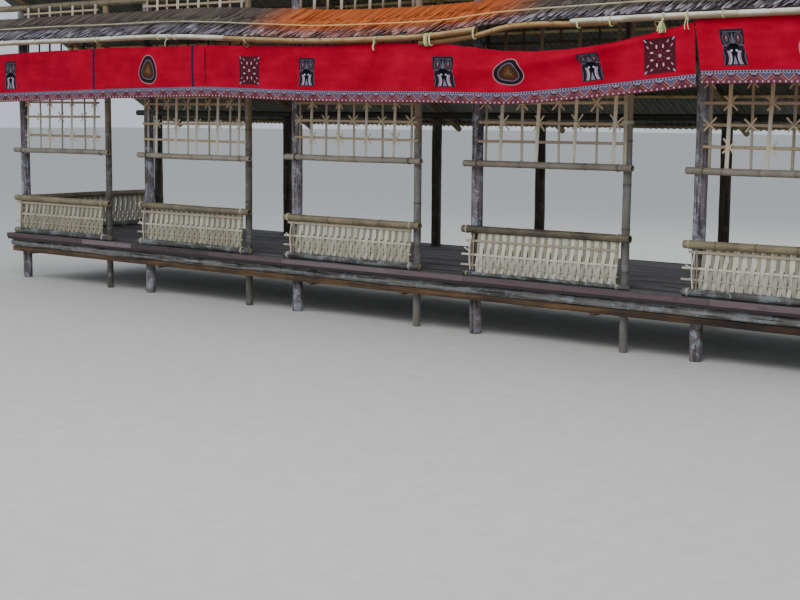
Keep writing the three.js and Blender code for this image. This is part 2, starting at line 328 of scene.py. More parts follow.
def beam(low, high):
    # a sawn beam between two corners
    size = high - low
    part = block(Matrix.Translation((low + high) / 2) @ Matrix.Diagonal((*size, 1)))
    long = [edge for edge in part.edges if abs(edge.verts[0].co.x - edge.verts[1].co.x) > size.x / 2]
    bmesh.ops.subdivide_edges(part, edges=long, cuts=round(size.x / 0.25), use_grid_fill=True)
    sharp = [edge for edge in part.edges if edge.calc_face_angle(0) > 1]
    bmesh.ops.bevel(part, geom=sharp, offset=0.006, affect="EDGES", segments=2, profile=0.5, material=-1)
    shift = vary(0, 50)
    for vert in part.verts:
        vert.co.y += 0.003 * noise.noise(at(vert.co.x * 1.3, 0, shift))
        vert.co.z += 0.003 * noise.noise(at(vert.co.x * 1.3, 5, shift))
    return part


def windRing(centre, normal, first, wide, deep, thick):
    # one turn of a lashing: an oval ring, wide along first and deep across it
    part = freshMesh()
    ring = bmesh.ops.create_circle(part, segments=5, radius=thick)["verts"]
    lines = list({edge for vert in ring for edge in vert.link_edges})
    moved(part, Matrix.Translation((1, 0, 0)) @ Matrix.Rotation(math.pi / 2, 4, "X"))
    spun(part, ring + lines, 16)
    for vert in part.verts:
        turn = math.atan2(vert.co.y, vert.co.x)
        proud = math.hypot(vert.co.x, vert.co.y) - 1
        vert.co.x = (wide + proud) * math.cos(turn)
        vert.co.y = (deep + proud) * math.sin(turn)
    basis = Matrix((first, normal.cross(first), normal)).transposed().to_4x4()
    return moved(part, Matrix.Translation(centre) @ basis)


def band(centre, axis, radius, thick):
    # three turns round one pole
    first = axis.orthogonal().normalized()
    shade = chance.random()
    for turn in (-1, 0, 1):
        reach = radius + thick * 0.6
        yield windRing(centre + axis * turn * thick * 1.9, axis, first, reach, reach, thick), shade


# Finishes
def paint(code):
    # a hex colour as linear light
    parts = [int(code[i:i + 2], 16) / 255 for i in (1, 3, 5)]
    return (*[part / 12.92 if part <= 0.04045 else ((part + 0.055) / 1.055) ** 2.4 for part in parts], 1)


# How noise is stretched along the grain
grain = {
    "x": (0.06, 1, 1), "y": (1, 0.06, 1), "z": (1, 1, 0.06), None: (1, 1, 1),
    "down": (1, 0.12, 0.12),    # the roof's slope
    "rings": (0.03, 1, 1),      # growth lines of sawn wood
    "teeth": (1, 0.04, 0.04),   # saw marks across them
    "vein": (1, 0.05, 0.05),    # of the leaves
    "weft": (0.25, 1, 1),       # of the cloth
}


class Wire:
    # one socket of a finish: sums on it become Math nodes
    def __init__(self, finish, socket=None):
        self.finish = finish
        self.socket = socket

    def feed(self, node, sockets):
        for name, value in (sockets or {}).items():
            if isinstance(value, Wire):
                self.finish.node_tree.links.new(value.socket, node.inputs[name])
            else:
                node.inputs[name].default_value = paint(value) if isinstance(value, str) else value

    def node(self, kind, sockets=None, out=0, **settings):
        made = self.finish.node_tree.nodes.new("ShaderNode" + kind)
        for name, value in settings.items():
            setattr(made, name, value)
        self.feed(made, sockets)
        return Wire(self.finish, made.outputs[out])

    def maths(self, operation, *others):
        return self.node("Math", dict(enumerate((self, *others))), operation=operation)

    __add__ = partialmethod(maths, "ADD")
    __radd__ = partialmethod(maths, "ADD")
    __sub__ = partialmethod(maths, "SUBTRACT")
    __mul__ = partialmethod(maths, "MULTIPLY")
    __truediv__ = partialmethod(maths, "DIVIDE")
    __lt__ = partialmethod(maths, "LESS_THAN")
    __gt__ = partialmethod(maths, "GREATER_THAN")
    __abs__ = partialmethod(maths, "ABSOLUTE")

    def __rsub__(self, other):
        return self.node("Math", {0: other, 1: self}, operation="SUBTRACT")

    def above(self, edge, soft):
        # 0 under edge, 1 over it, with a soft step
        return self.node("MapRange", {0: self, 1: edge - soft, 2: edge + soft, 3: 0.0, 4: 1.0},
                         interpolation_type="SMOOTHSTEP")

    def between(self, low, high, soft=0.001):
        return self.above(low, soft) * (1 - self.above(high, soft))

    def mix(self, under, over, blend="MIX"):
        return self.node("Mix", {0: self, 6: under, 7: over}, 2, data_type="RGBA", blend_type=blend)

    def ramp(self, *stops):
        made = self.node("ValToRGB", {0: self})
        elements = made.socket.node.color_ramp.elements
        while len(elements) < len(stops):
            elements.new(0.5)
        for element, (place, code) in zip(elements, stops):
            element.position = place
            element.color = paint(code)
        return made

    def speckle(self, scale, detail, rough, shift=0.0, run=None):
        # noise on object coordinates
        spot = self.node("TexCoord", out=3)
        spot = self.node("Mapping", {"Vector": spot, "Scale": grain[run], "Location": (shift, shift, shift)})
        return self.node("TexNoise", {"Vector": spot, "Scale": scale, "Detail": detail, "Roughness": rough})

    def read(self, name):
        return self.node("Attribute", out=2, attribute_name=name)

    def placeAlong(self, axis):
        # 0 across the house, 1 toward its back, 2 up
        return self.node("SeparateXYZ", {0: self.node("TexCoord", out=3)}, axis)


def layered(under, *layers):
    # lays tones over a colour, each through its mask
    for mask, *over in layers:
        under = mask.mix(under, *over)
    return under


def startFinish(name, settings=None):
    made = bpy.data.materials.new(name)
    made.use_nodes = True
    wire = Wire(made)
    wire.feed(made.node_tree.nodes["Principled BSDF"], settings)
    return wire


def closeFinish(wire, colour, rough, height=None, depth=0.002, strength=0.6):
    feeds = {"Base Color": colour, "Roughness": rough}
    if height is not None:
        feeds["Normal"] = wire.node("Bump", {"Strength": strength, "Distance": depth, "Height": height})
    wire.feed(wire.finish.node_tree.nodes["Principled BSDF"], feeds)
    return wire.finish


def barkFinish(name, run, dark, mid, light, lichen, lichenShare, growth):
    # bark: dark fissures along the run, lighter plates, lichen in pale patches
    wire = startFinish(name)
    plates = wire.speckle(38, 5, 0.65, run=run)
    cloud = wire.speckle(3.2, 3, 0.6, 4)
    fine = wire.speckle(130, 3, 0.7, 9)
    patches = wire.speckle(growth, 6, 0.72, 17)
    spots = wire.speckle(growth * 6, 3, 0.6, 23)
    bloom = (patches * 0.75 + spots * 0.25).above(1 - lichenShare, 0.035)
    colour = layered((plates * 0.65 + cloud * 0.35).ramp((0.32, dark), (0.47, mid), (0.62, light)),
                     (bloom * 0.85, fine.ramp((0.3, lichen[0]), (0.7, lichen[1]))),
                     (1 - plates.above(0.42, 0.06), dark))
    height = plates * 0.7 + fine * 0.15 + bloom * 0.12
    return closeFinish(wire, colour, 0.82 - bloom * 0.08, height, 0.006, 0.75)


def culmFinish(name, run, dark, mid, light, mark, stain, gloss, moss=None, under=None, sun=None):
    # bamboo skin: fine lengthwise fibre, cloudy stains, a dark mark at each node; under colours its
    # shaded side, sun its stretch in the sun
    wire = startFinish(name)
    fibre = wire.speckle(90, 3, 0.6, run=run)
    cloud = wire.speckle(4.5, 4, 0.6, 7)
    specks = wire.speckle(60, 3, 0.7, 13)
    shade = wire.read("shade")
    soil = (cloud * 0.6 + specks * 0.4).above(1 - stain, 0.06)
    layers = [(soil * 0.55, mark)]
    if moss:
        layers.append((wire.speckle(9, 5, 0.7, 31).above(0.56, 0.03) * 0.6, moss))
    if under:
        layers.append(((1 - (shade + (cloud - 0.5) * 0.9).above(0.5, 0.35)) * 0.85, under))
    if sun:
        layers.append((wire.placeAlong(0).between(-0.9, 2.6, 0.5) * 0.85, sun))
    # painted light: the upright culm posts lighter and browner above 1.95 m, for the light on their upper
    # part
    if run == "z":
        layers.append((wire.placeAlong(2).above(1.95, 0.2) * 0.5, "#A0855F"))
    layers.append((wire.read("ring") * 0.45, mark))
    tone = fibre * 0.35 + cloud * 0.45 + shade * 0.2
    colour = layered(tone.ramp((0.3, dark), (0.5, mid), (0.68, light)), *layers)
    rough = gloss + specks * 0.25 + soil * 0.15
    return closeFinish(wire, colour, rough, fibre * 0.5 + specks * 0.2, 0.0015, 0.5)


def splitFinish(name, run, dark, mid, light, soil, gloss, wide=0.45, warm=None):
    # split bamboo: every strip has its own tone, with fibre and weather streaks along it
    wire = startFinish(name)
    fibre = wire.speckle(160, 3, 0.6, run=run)
    streak = wire.speckle(38, 4, 0.6, 5, run)
    cloud = wire.speckle(5, 4, 0.65, 11)
    shade = wire.read("shade")
    tone = shade * wide + streak * 0.35 + cloud * (0.65 - wide) * 0.8 + fibre * 0.1
    layers = [((streak * 0.5 + cloud * 0.5).above(0.58, 0.05) * 0.45, soil)]
    if warm:
        # browned above head height, with painted shade behind the cloth under the awning, clean over the
        # thatch
        height = wire.placeAlong(2)
        layers.append((height.between(2.25, 3.32, 0.25) * 0.75, warm, "MULTIPLY"))
        # painted shade: darker from 2.72 to 3.34 m, the darker-toned columns most
        layers.append((height.between(2.72, 3.34, 0.12) * (1.1 - shade * 0.6), "#565C48", "MULTIPLY"))
    colour = layered(tone.ramp((0.22, dark), (0.45, mid), (0.7, light)), *layers)
    return closeFinish(wire, colour, gloss + streak * 0.25, fibre * 0.6 + streak * 0.3, 0.0012, 0.5)


def sawnFinish():
    # sawn timber: orange-brown, with saw marks and darker growth lines
    wire = startFinish("sawnBeam")
    rings = wire.speckle(42, 4, 0.55, run="rings")
    cloud = wire.speckle(2.4, 4, 0.6, 5)
    teeth = wire.speckle(190, 2, 0.5, 8, "teeth")
    colour = (rings * 0.6 + cloud * 0.4).ramp((0.34, "#1E160E"), (0.5, "#4A3520"), (0.66, "#7A5630"))
    # painted shade: the beam darker towards its right end
    colour = (wire.placeAlong(0).above(4.1, 0.5) * 0.8).mix(colour, "#5E4C46", "MULTIPLY")
    return closeFinish(wire, colour, 0.74, rings * 0.6 + teeth * 0.3, 0.0025, 0.6)


def sawnEndFinish():
    # sawn log ends: pale cloudy wood
    wire = startFinish("sawnLogEnd")
    fine = wire.speckle(70, 4, 0.6)
    cloud = wire.speckle(9, 3, 0.6, 3)
    colour = (fine * 0.5 + cloud * 0.5).ramp((0.3, "#4A3D2F"), (0.5, "#8B7757"), (0.7, "#B49F78"))
    return closeFinish(wire, colour, 0.8, fine, 0.002, 0.5)


def leafFinish(name, low, high, litOrange):
    # dried palm leaf: low and high are its tones under and over the batten; the third tones are painted
    # orange light along one stretch of the awning
    wire = startFinish(name)
    vein = wire.speckle(170, 3, 0.6, run="vein")
    cloud = wire.speckle(6, 4, 0.6, 5)
    tone = wire.read("shade") * 0.45 + vein * 0.3 + cloud * 0.25
    sideways = wire.placeAlong(0)
    inward = wire.placeAlong(1) + sideways * awning["battenSkew"]
    upper = (inward + cloud * 0.08).above(eaveLine.y + awning["battenRun"], 0.07)
    # painted light: an orange pool of light along part of the awning, strongest over the batten
    sunny = sideways.between(-0.9, 2.35, 0.45) * (upper * 0.6 + 0.4)
    low, high, litOrange = (tone.ramp(*zip((0.2, 0.42, 0.62, 0.85), codes)) for codes in (low, high, litOrange))
    colour = layered(low, (upper, high), (sunny * 0.85, litOrange))
    return closeFinish(wire, colour, 0.62 + vein * 0.2, vein, 0.0015, 0.6)


def sheetFinish():
    # corrugated metal: dull grey-green, streaked down the slope, a little rust at the laps
    wire = startFinish("dullSheetMetal", {"Metallic": 0.55})
    streak = wire.speckle(26, 5, 0.6, run="down")
    cloud = wire.speckle(1.6, 4, 0.6, 5)
    fine = wire.speckle(90, 3, 0.7, 8)
    tone = streak * 0.45 + cloud * 0.35 + wire.read("shade") * 0.2
    rust = (streak * 0.55 + cloud * 0.3 + fine * 0.15).above(0.6, 0.03)
    colour = (rust * 0.7).mix(tone.ramp((0.3, "#40423A"), (0.5, "#65665A"), (0.7, "#86877A")), "#6B4A35")
    return closeFinish(wire, colour, 0.45 + fine * 0.2 + rust * 0.25, fine * 0.4 + rust * 0.3, 0.0008, 0.4)


def cordFinish(name, dark, light):
    # split-bamboo and cord ties
    wire = startFinish(name)
    fibre = wire.speckle(240, 3, 0.6)
    tone = fibre * 0.5 + wire.read("shade") * 0.5
    return closeFinish(wire, tone.ramp((0.2, dark), (0.7, light)), 0.6, fibre, 0.0008, 0.5)


# Tones: dark, middle and light, then the node mark, the soil or the two lichens
railBark = ("#25231F", "#4A4844", "#63615D", ("#5F6468", "#8D9498"), 0.48, 7)
tanTones = ("#3A3226", "#6E634C", "#8E8263", "#32291D", 0.36, 0.42)
splintTones = ("#6B5C4C", "#A69A82", "#D0CAB4", "#5E5140", 0.5, 0.6)

barkPost = barkFinish("barkPost", "z", "#383130", "#615859", "#7C7476", ("#7F828E", "#A9ADBC"), 0.47, 8)
barkEdge = barkFinish("barkEdgeLog", "x", "#302F2E", "#696763", "#8C8A86", ("#7E8288", "#A9ADB0"), 0.46, 7)
barkRail = barkFinish("barkRailFoot", "x", *railBark)
barkRailSide = barkFinish("barkRailFootSide", "y", *railBark)
barkBearer = barkFinish("barkBearer", "y", "#241E1A", "#443A33", "#584D45", ("#5F6468", "#8D9498"), 0.42, 6)
# painted shade: the back posts get a near-black bark for the shade inside the house
shadedPost = barkFinish("shadedBackPostBark", "z", "#1A1612", "#352E26", "#484036", ("#4C4842", "#646058"), 0.42, 7)
sawnEnd = sawnEndFinish()
greyCulm = culmFinish("greyCulmPost", "z", "#343028", "#5A554C", "#75706A", "#322D24", 0.38, 0.5, "#787A7E")
tanCulm = culmFinish("tanCulmRail", "x", *tanTones)
tanCulmSide = culmFinish("tanCulmSideRail", "y", *tanTones)
paleCulm = culmFinish("paleCulmEave", "x", "#A89E88", "#D2CCBA", "#ECE9E0", "#7E6A4A", 0.34, 0.4,
                      under="#7A6244")
# painted orange light: the middle eave culms get honey-orange tones for the orange light that falls on them
orangeLitCulm = culmFinish("paintedOrangeEaveCulm", "x", "#6A4C28", "#A07A48", "#C8A878", "#4E3618", 0.4, 0.42,
                       under="#6A4422")
thinCulm = culmFinish("thinCulmBatten", "x", "#8E7E62", "#BEB296", "#DAD2BE", "#7E6A4A", 0.36, 0.45,
                      sun="#F2AC5E")
darkCulm = culmFinish("darkCulmPlate", "x", "#100E0B", "#231F19", "#373128", "#0C0A08", 0.4, 0.6)
lilacCulm = culmFinish("lilacCulmLattice", "x", "#5A5042", "#80766A", "#9C9282", "#453D30", 0.36, 0.5)
brownCulm = culmFinish("brownCulmRafter", "y", "#4E3E2B", "#776445", "#94805C", "#3A2D1B", 0.38, 0.5)
purlinCulm = culmFinish("tanCulmPurlin", "x", "#6A5636", "#9C8456", "#C0A878", "#4A3A20", 0.36, 0.5)
joistCulm = culmFinish("joistCulm", "y", "#2C261E", "#4B4336", "#655B49", "#1E1913", 0.4, 0.6)
deckSplit = splitFinish("deckSplit", "x", "#1E1A1A", "#3F3A3B", "#5E5A5C", "#1A1615", 0.65)
rimSplit = splitFinish("deckRimPlank", "x", "#2E2224", "#5A484A", "#7A6A6E", "#241A1A", 0.6)
slatSplit = splitFinish("railSlat", "z", "#5C5848", "#928C76", "#CECBBA", "#5E5743", 0.5, 0.6)
splintSplit = splitFinish("railSplint", "x", *splintTones)
splintSide = splitFinish("railSplintSide", "y", *splintTones)
latticeRow = splitFinish("latticeRow", "x", "#6B5A48", "#A08A70", "#C9B89A", "#5E4632", 0.55, 0.5, "#E0B088")
latticeColumn = splitFinish("latticeColumn", "z", "#6A6254", "#A09884", "#C8C2AE", "#5E4632", 0.55, 0.5,
                            "#F0B890")
sawnBeam = sawnFinish()
metalSheet = sheetFinish()
paleTie = cordFinish("paleTie", "#8C8468", "#CFC8AC")
limeTie = cordFinish("limeTie", "#8E8C66", "#D8DC9C")
darkTie = cordFinish("darkTie", "#2E2A20", "#6A6250")
print("finishes made")


# Posts
def buildPosts():
    for i in panels:
        node = f"log_post_{i}"
        log = barkLog(*ends(node, up), postRadius, 24)
        makeLog(f"bark_post_{i}", log, barkPost, "bark_log", node)
    for i in panels:
        node = f"bamboo_post_{i}"
        pole = culm(*ends(node, up), culmRadius, 18, 0.42)
        makePiece(f"culm_post_{i}", [pole], greyCulm, "bamboo_culm", node)
    for i in range(1, 7):
        node = f"back_post_{i}"
        log = barkLog(*ends(node, up), half(node).x, 20)
        makeLog(f"back_log_post_{i}", log, shadedPost, "dark_wood", node)


buildPosts()
print("posts made")


# Floor frame and deck
deck = {
    "board": 0.043,     # width of a split board with its gap
    "gap": 0.004,
    # thickness and length of the boards, inside and at the two edges
    "inner": (0.012, 2.9),
    "edge": (0.024, 1.35),
    "clear": 0.004,     # round each post
    "joistRadius": 0.027,
    "joists": 21,
    "joistInset": 0.082,
    "rimLength": 1.35,
    "rimTall": 0.058,
    "rimThick": 0.009,
    "rimDrop": 0.026,
    # a near-black strip under the rim planks, a painted shadow: its drop, height and thickness
    "shadowStripDrop": 0.064,
    "shadowStripTall": 0.032,
    "shadowStripThick": 0.004,
}


def buildFloorFrame():
    for name, node in (("front", "edge_log_front"), ("back", "edge_log_back"), ("middle", "middle_log")):
        log = barkLog(*ends(node, across), half(node).z, 20, 0.09, 0.008)
        makeLog(f"{name}_bark_log", log, barkEdge, "edge_bark", node)
    for side in ("front", "back"):
        node = f"under_beam_{side}"
        makePiece(f"{side}_sawn_beam", [beam(*corners(node))], sawnBeam, "sawn_wood", node)
    for i in range(1, 7):
        node = f"cross_bearer_{i}"
        log = barkLog(*ends(node, back), half(node).x, 16)
        makeLog(f"bearer_log_{i}", log, barkBearer, "bark_log", node)


def freeRuns(low, high, y, wide):
    # the stretches of a board at y that miss the posts
    runs = []
    start = low
    for x, line, radius in sorted((x, line, radius) for row, line, radius in postRows for x in row):
        gap = abs(y - line) - wide / 2
        reach = radius * 1.1 + deck["clear"]
        if gap < reach:
            share = math.sqrt(reach ** 2 - max(gap, 0) ** 2)
            runs.append((start, x - share))
            start = x + share
    return runs + [(start, high)]


def boards(low, high):
    rows = round((high.y - low.y) / deck["board"])
    pitch = (high.y - low.y) / rows
    wide = pitch - deck["gap"]
    for row in range(rows):
        y = low.y + (row + 0.5) * pitch
        atEdge = row in (0, rows - 1)
        thick, reach = deck["edge" if atEdge else "inner"]
        for start, end in freeRuns(low.x + 0.01, high.x - 0.01, y, wide):
            while start < end - 0.02:
                stop = min(end, start + reach * vary(0.75, 1.2))
                if end - stop < 0.3:
                    stop = end
                lift = vary(-0.003, 0.001)
                foot, head = (at(x, y + vary(-0.002, 0.002), high.z - thick + lift)
                              for x in (start, stop - 0.003))
                if atEdge:
                    head.z -= 0.006
                    foot.z += 0.002
                yield strip(foot, head, up, wide * vary(0.88, 1), thick, 2, 0.8)
                start = stop


def joists(low, high):
    radius = deck["joistRadius"]
    span = high.x - low.x - 2 * deck["joistInset"]
    for joist in range(deck["joists"]):
        x = -span / 2 + span * joist / (deck["joists"] - 1)
        foot, head = (at(x, y, low.z + radius) for y in (low.y + 0.003, high.y - 0.003))
        yield culm(foot, head, radius, 12, 0.34)


def rimPlanks(low, high):
    # rough planks across the joist ends, and under them a dark strip down to the edge log, a painted shadow
    for y, out in ((low.y - 0.001, -back), (high.y + 0.001, back)):
        place = low.x + 0.01
        while place < high.x - 0.1:
            stop = min(high.x - 0.01, place + deck["rimLength"] * vary(0.7, 1.25))
            foot, head = (at(x, y, high.z - deck["rimDrop"] + vary(-0.002, 0.002))
                          for x in (place, stop - 0.004))
            wave = vary(0, 9)
            yield strip(foot, head, out, deck["rimTall"] * vary(0.9, 1), deck["rimThick"], 12, 0.8,
                        lambda share: 0.002 * math.sin(7 * share + wave))
            place = stop
        # painted shadow: the darkest strip under the planks, down to the edge log
        foot, head = (at(x, y, high.z - deck["shadowStripDrop"]) for x in (low.x + 0.02, high.x - 0.02))
        yield strip(foot, head, out, deck["shadowStripTall"], deck["shadowStripThick"], 24, 0.9), -0.6


buildFloorFrame()
for name, parts, surface in (("boards", boards, deckSplit), ("joists", joists, joistCulm),
                             ("rim_planks", rimPlanks, rimSplit)):
    makePiece(f"deck_{name}", parts(*corners("deck")), surface, "deck_bamboo", "deck")
print("floor made")


# Railings
rail = {
    "pitch": 0.0446,
    "slat": 0.0432,
    "slatThick": 0.004,
    "swing": 0.007,
    "lean": 0.035,
    # heights and widths of the three splints; those of panel 4 sit lower
    "splints": ((1.008, 0.028), (0.861, 0.020), (0.758, 0.020)),
    "lowSplints": ((0.960, 0.024), (0.820, 0.020), (0.715, 0.020)),
    "splintThick": 0.005,
    "top": 1.034,
    "poleRadius": 0.0375,
    "deckTop": 0.6003,
    "highPole": 1.0625,
    "stick": 0.11,      # how far the splints run out past the left post
    "stakes": (0.03, 0.062),
    "stakeRadius": 0.006,
    # front panels: foot of the slats, radius of the foot log, rise of the top pole at its two ends
    "panels": ((0.66, 0.0375, (0.004, 0.004)), (0.66, 0.0375, (0.022, 0.022)), (0.66, 0.0375, (0.0, 0.0)),
               (0.632, 0.023, (0.008, 0.016)), (0.66, 0.0375, (0.008, 0.024))),
    # the slats' tones, panel by panel: the left panels darker as painted shade
    "tones": (0.28, 0.36, 0.44, 0.50, 0.52),    # of the slats
}


def clamped(value):
    return min(1, max(0, value))


def slats(start, along, out, length, splints, panel, tone):
    # upright slats that pass over and under the splints in turn
    low, _, rises = panel
    count = round(length / rail["pitch"])
    heights = [height for height, width in splints]
    for slat in range(count):
        share = (slat + 0.5) / count
        top = rail["top"] + rises[0] + (rises[1] - rises[0]) * share
        parity = 1 if slat % 2 else -1
        knots = [(low, parity), (heights[2], -parity), (heights[1], parity), (heights[0], -0.7)]
        knots.append((top + 0.02, -0.3))

        def sway(share):
            height = low + share * (top - low)
            for (foot, side), (head, nextSide) in zip(knots, knots[1:]):
                if height <= head:
                    part = (height - foot) / (head - foot)
                    return rail["swing"] * (side + (nextSide - side) * part * part * (3 - 2 * part))

        # over the middle splint the slats on top are painted lighter and the recessed ones darker, as
        # painted light and shade; above the top splint all get darker
        own = tone + vary(-0.08, 0.08)

        def shade(point):
            upper = clamped((point.z - heights[1] + 0.03) / 0.05)
            # darker above the top splint
            overTopSplint = clamped((point.z - heights[0] + 0.03) / 0.03) if heights[0] > 1 else 0
            return own + parity * (0.03 + 0.16 * upper) - 0.25 * overTopSplint

        place = start + along * (share * length + vary(-0.002, 0.002))
        lean = along * (rail["lean"] + vary(-0.004, 0.004))
        foot = place + up * low - lean * 0.4
        head = place + lean + up * (top - vary(0, 0.006)) - lean * 0.4
        width = rail["slat"] * vary(0.93, 1.04)
        yield strip(foot, head, out, width, rail["slatThick"], 14, 0.85, sway), shade


def splintRows(start, end, out, stickOut, splints, low):
    run = (end - start).normalized()
    for (height, width), shade, reach in zip(splints, (0.3, 0.85, 0.4), (0.65, 1.0, 1.05)):
        first = start - run * stickOut * reach + up * (height - 0.004)
        last = end + run * vary(0, 0.02) + up * (height + 0.002)
        if height == splints[0][0]:
            first += out * rail["swing"] * 0.4
            last += out * rail["swing"] * 0.4
        wave = vary(0, 9)
        yield strip(first, last, out, width, rail["splintThick"], 24, 0.8,
                    lambda share: 0.0015 * math.sin(60 * share + wave)), shade
    if stickOut < rail["stick"]:
        return
    # two thin stakes at the left end of a panel, tied to the splints with pale slanted strips
    for place in rail["stakes"]:
        foot = start - run * place + out * 0.008
        head = foot + run * vary(0, 0.02) + up * (rail["top"] - 0.005)
        yield culm(foot + up * low, head, rail["stakeRadius"], 8), 0.2
    for *foot, headPlace, headHeight in ((0.06, 0.665, 0.075, 0.86), (0.075, 0.855, 0.045, 1.01),
                                         (0.055, 0.85, 0.135, 0.885)):
        foot, head = (start - run * place + out * 0.016 + up * height
                      for place, height in (foot, (headPlace, headHeight)))
        yield strip(foot, head, out, 0.013, 0.003, 3, 0.7,
                    lambda share: 0.004 * math.sin(math.pi * share)), 0.95


def buildRailing(name, node, axis, out, weave, stickOut, surfaces, splints, panel, tone):
    # weave is the run of the slats, from the poles' left end
    barkLook, culmLook, splintLook = surfaces
    first, last = ends(node, axis)
    first.z = last.z = 0
    radius, rises = rail["panels"][panel][1:]
    low = up * (rail["deckTop"] + radius)
    high = [up * (rail["highPole"] + rise) for rise in rises]
    log = barkLog(first + low, last + low, radius, 16, 0.1, 0.004)
    makeLog(f"{name}_foot_log", log, barkLook, "edge_bark", node)
    pole = culm(first + high[0], last + high[1], rail["poleRadius"], 18, 0.42)
    makePiece(f"{name}_top_culm", [pole], culmLook, "bamboo_culm", node)
    start, end = (first + axis * place for place in weave)
    parts = slats(start, axis, out, weave[1] - weave[0], splints, rail["panels"][panel], tone)
    makePiece(f"{name}_slats", parts, slatSplit, "woven_bamboo", node)
    parts = splintRows(start, end, out, stickOut, splints, rail["panels"][0][0])
    makePiece(f"{name}_splints", parts, splintLook, "woven_bamboo", node)


def buildRailings():
    for i, left, right in zip(panels, leftPosts, rightPosts):
        node = f"front_railing_{i}"
        low = corners(node)[0].x
        margin = postRadius + 0.01
        weave = (left + margin - low, right - culmRadius + 0.005 - low)
        splints = rail["lowSplints" if i == 4 else "splints"]
        buildRailing(f"front_rail_{i}", node, across, -back, weave, margin + rail["stick"],
                     (barkRail, tanCulm, splintSplit), splints, i - 1, rail["tones"][i - 1])
    for side, out in (("left", -across), ("right", across)):
        node = f"{side}_railing"
        buildRailing(f"{side}_rail", node, back, out, (0.03, 2 * half(node).y - 0.03), 0.01,
                     (barkRailSide, tanCulmSide, splintSide), rail["splints"], 2, 0.4)


buildRailings()
print("railings made")


# Lattice panels over the front railings
lattice = {
    # each panel's first column from the left post, the step between columns, their number, whether the
    # first is a broad one, the stars' size, their shift and first row, shifts of the low rows, the drop
    # of the foot pole
    "panels": ((0.21, 0.23, 7, 1, 0.17, 1, 0, (-0.045, 0.0, 0.005), 0.03),
               (0.07, 0.18, 10, 0, 0.17, 1, 1, (-0.055, -0.06, -0.02), 0.04),
               (0.11, 0.20, 9, 0, 0.17, 0, 0, (), 0.0),
               (0.157, 0.2156, 8, 0, 0.20, 1, 1, (), 0.0),
               (0.11, 0.20, 9, 0, 0.18, 0, 0, (), 0.0)),
    "rows": 9,
    "firstRow": 1.945,
    "rowStep": 0.19,
    "top": 3.555,
    "foot": 1.725,
    # columns: layers behind the front, width, range of the drift, range of tones
    "broad": (1, 0.040, (0.05, 0.085), (0.6, 1.0)),
    "thin": (3, 0.031, (-0.01, 0.03), (0.1, 0.5)),
    "row": 0.029,
    "thick": 0.007,
    "splint": (0.017, 0.003),   # width and thickness of the stars' splints
    "starRows": 5,
    "extra": (1.765, 0.045, 0.3),   # panel 4 has one more column, in front of its culm post
    "poleRadius": 0.0325,
    "poleHeight": 1.73,
    "poleOffset": -0.091,
    "gridFront": -0.0825,
}


def buildLattice(i, left):
    node = f"lattice_{i}"
    start, step, count, broadFirst, star, starShift, starFrom, lowRows, poleDrop = lattice["panels"][i - 1]
    lowest = lattice["foot"] - poleDrop
    places = [left + start + column * step for column in range(count)]
    front = postLine + lattice["gridFront"]
    layer = lattice["thick"]

    def columns():
        for column, x in enumerate(places):
            depth, wide, drifts, tones = lattice["broad" if (column + broadFirst) % 2 else "thin"]
            wide *= vary(0.9, 1.1)
            drift = vary(*drifts)
            wave = vary(0, 9)
            foot = at(x - drift / 2, front + depth * layer, lowest + vary(-0.01, 0.03))
            head = at(x + drift / 2, front + depth * layer, lattice["top"] - vary(0, 0.02))
            yield strip(foot, head, -back, wide, layer, 10, 0.7,
                        lambda share: 0.0015 * math.sin(9 * share + wave)), vary(*tones)
        if i == 4:
            x, wide, tone = lattice["extra"]
            foot, head = (at(left + x, front + layer, z) for z in (lowest, lattice["top"] - 0.01))
            yield strip(foot, head, -back, wide, layer, 10, 0.7), tone

    def rows():
        for row in range(lattice["rows"]):
            z = lattice["firstRow"] + row * lattice["rowStep"] + vary(-0.006, 0.006)
            z += sum(lowRows[row:row + 1])
            y = front + 2 * layer
            foot = at(places[0] - vary(0.06, 0.1), y, z)
            head = at(places[-1] + vary(0.06, 0.1), y, z + vary(-0.01, 0.01))
            yield strip(foot, head, -back, lattice["row"] * vary(0.9, 1.12), layer, 10, 0.7), vary(0.3, 0.6)
            for column, x in enumerate(places):
                if (row + column + starShift) % 2 and starFrom <= row < lattice["starRows"]:
                    yield from crossedSplints(x, z)

    def crossedSplints(x, z):
        for tilt, depth in ((45, 0), (135, 0.45)):
            angle = math.radians(tilt + vary(-9, 9))
            way = at(math.cos(angle), 0, math.sin(angle))
            centre = at(x, front + layer * depth, z)
            first = centre - way * star / 2 * vary(0.8, 1.1)
            last = centre + way * star / 2 * vary(0.8, 1.1)
            wide, thick = lattice["splint"]
            yield strip(first, last, -back, wide, thick, 2, 0.7), vary(0.75, 1)

    makePiece(f"lattice_columns_{i}", columns(), latticeColumn, "lattice_bamboo", node)
    makePiece(f"lattice_rows_{i}", rows(), latticeRow, "lattice_bamboo", node)
    foot, head = (at(corner.x, postLine + lattice["poleOffset"], lattice["poleHeight"] - poleDrop)
                  for corner in corners(node))
    makePiece(f"lattice_foot_culm_{i}", [culm(foot, head, lattice["poleRadius"], 16, 0.4)], lilacCulm,
              "lattice_bamboo", node)


for i, left in zip(panels, leftPosts):
    buildLattice(i, left)
print("lattices made")


# Plates and roof: run is along the slope, lift square to it
roof = {
    "rafterRadius": 0.035,
    "rafterLift": 0.0753,
    "rafterRun": (-0.18, 3.16),
    "purlinRadius": 0.016,
    "purlinLift": 0.1258,
    "purlinRun": (-0.14, 3.12),
    "purlins": 6,
    "sheetLift": 0.1421,
    "sheetRun": (-0.22, 3.2),
    "wave": 0.076,
    "waveHeight": 0.016,
    "cover": 0.76,
    "lap": 0.14,
    "metal": 0.0012,
}


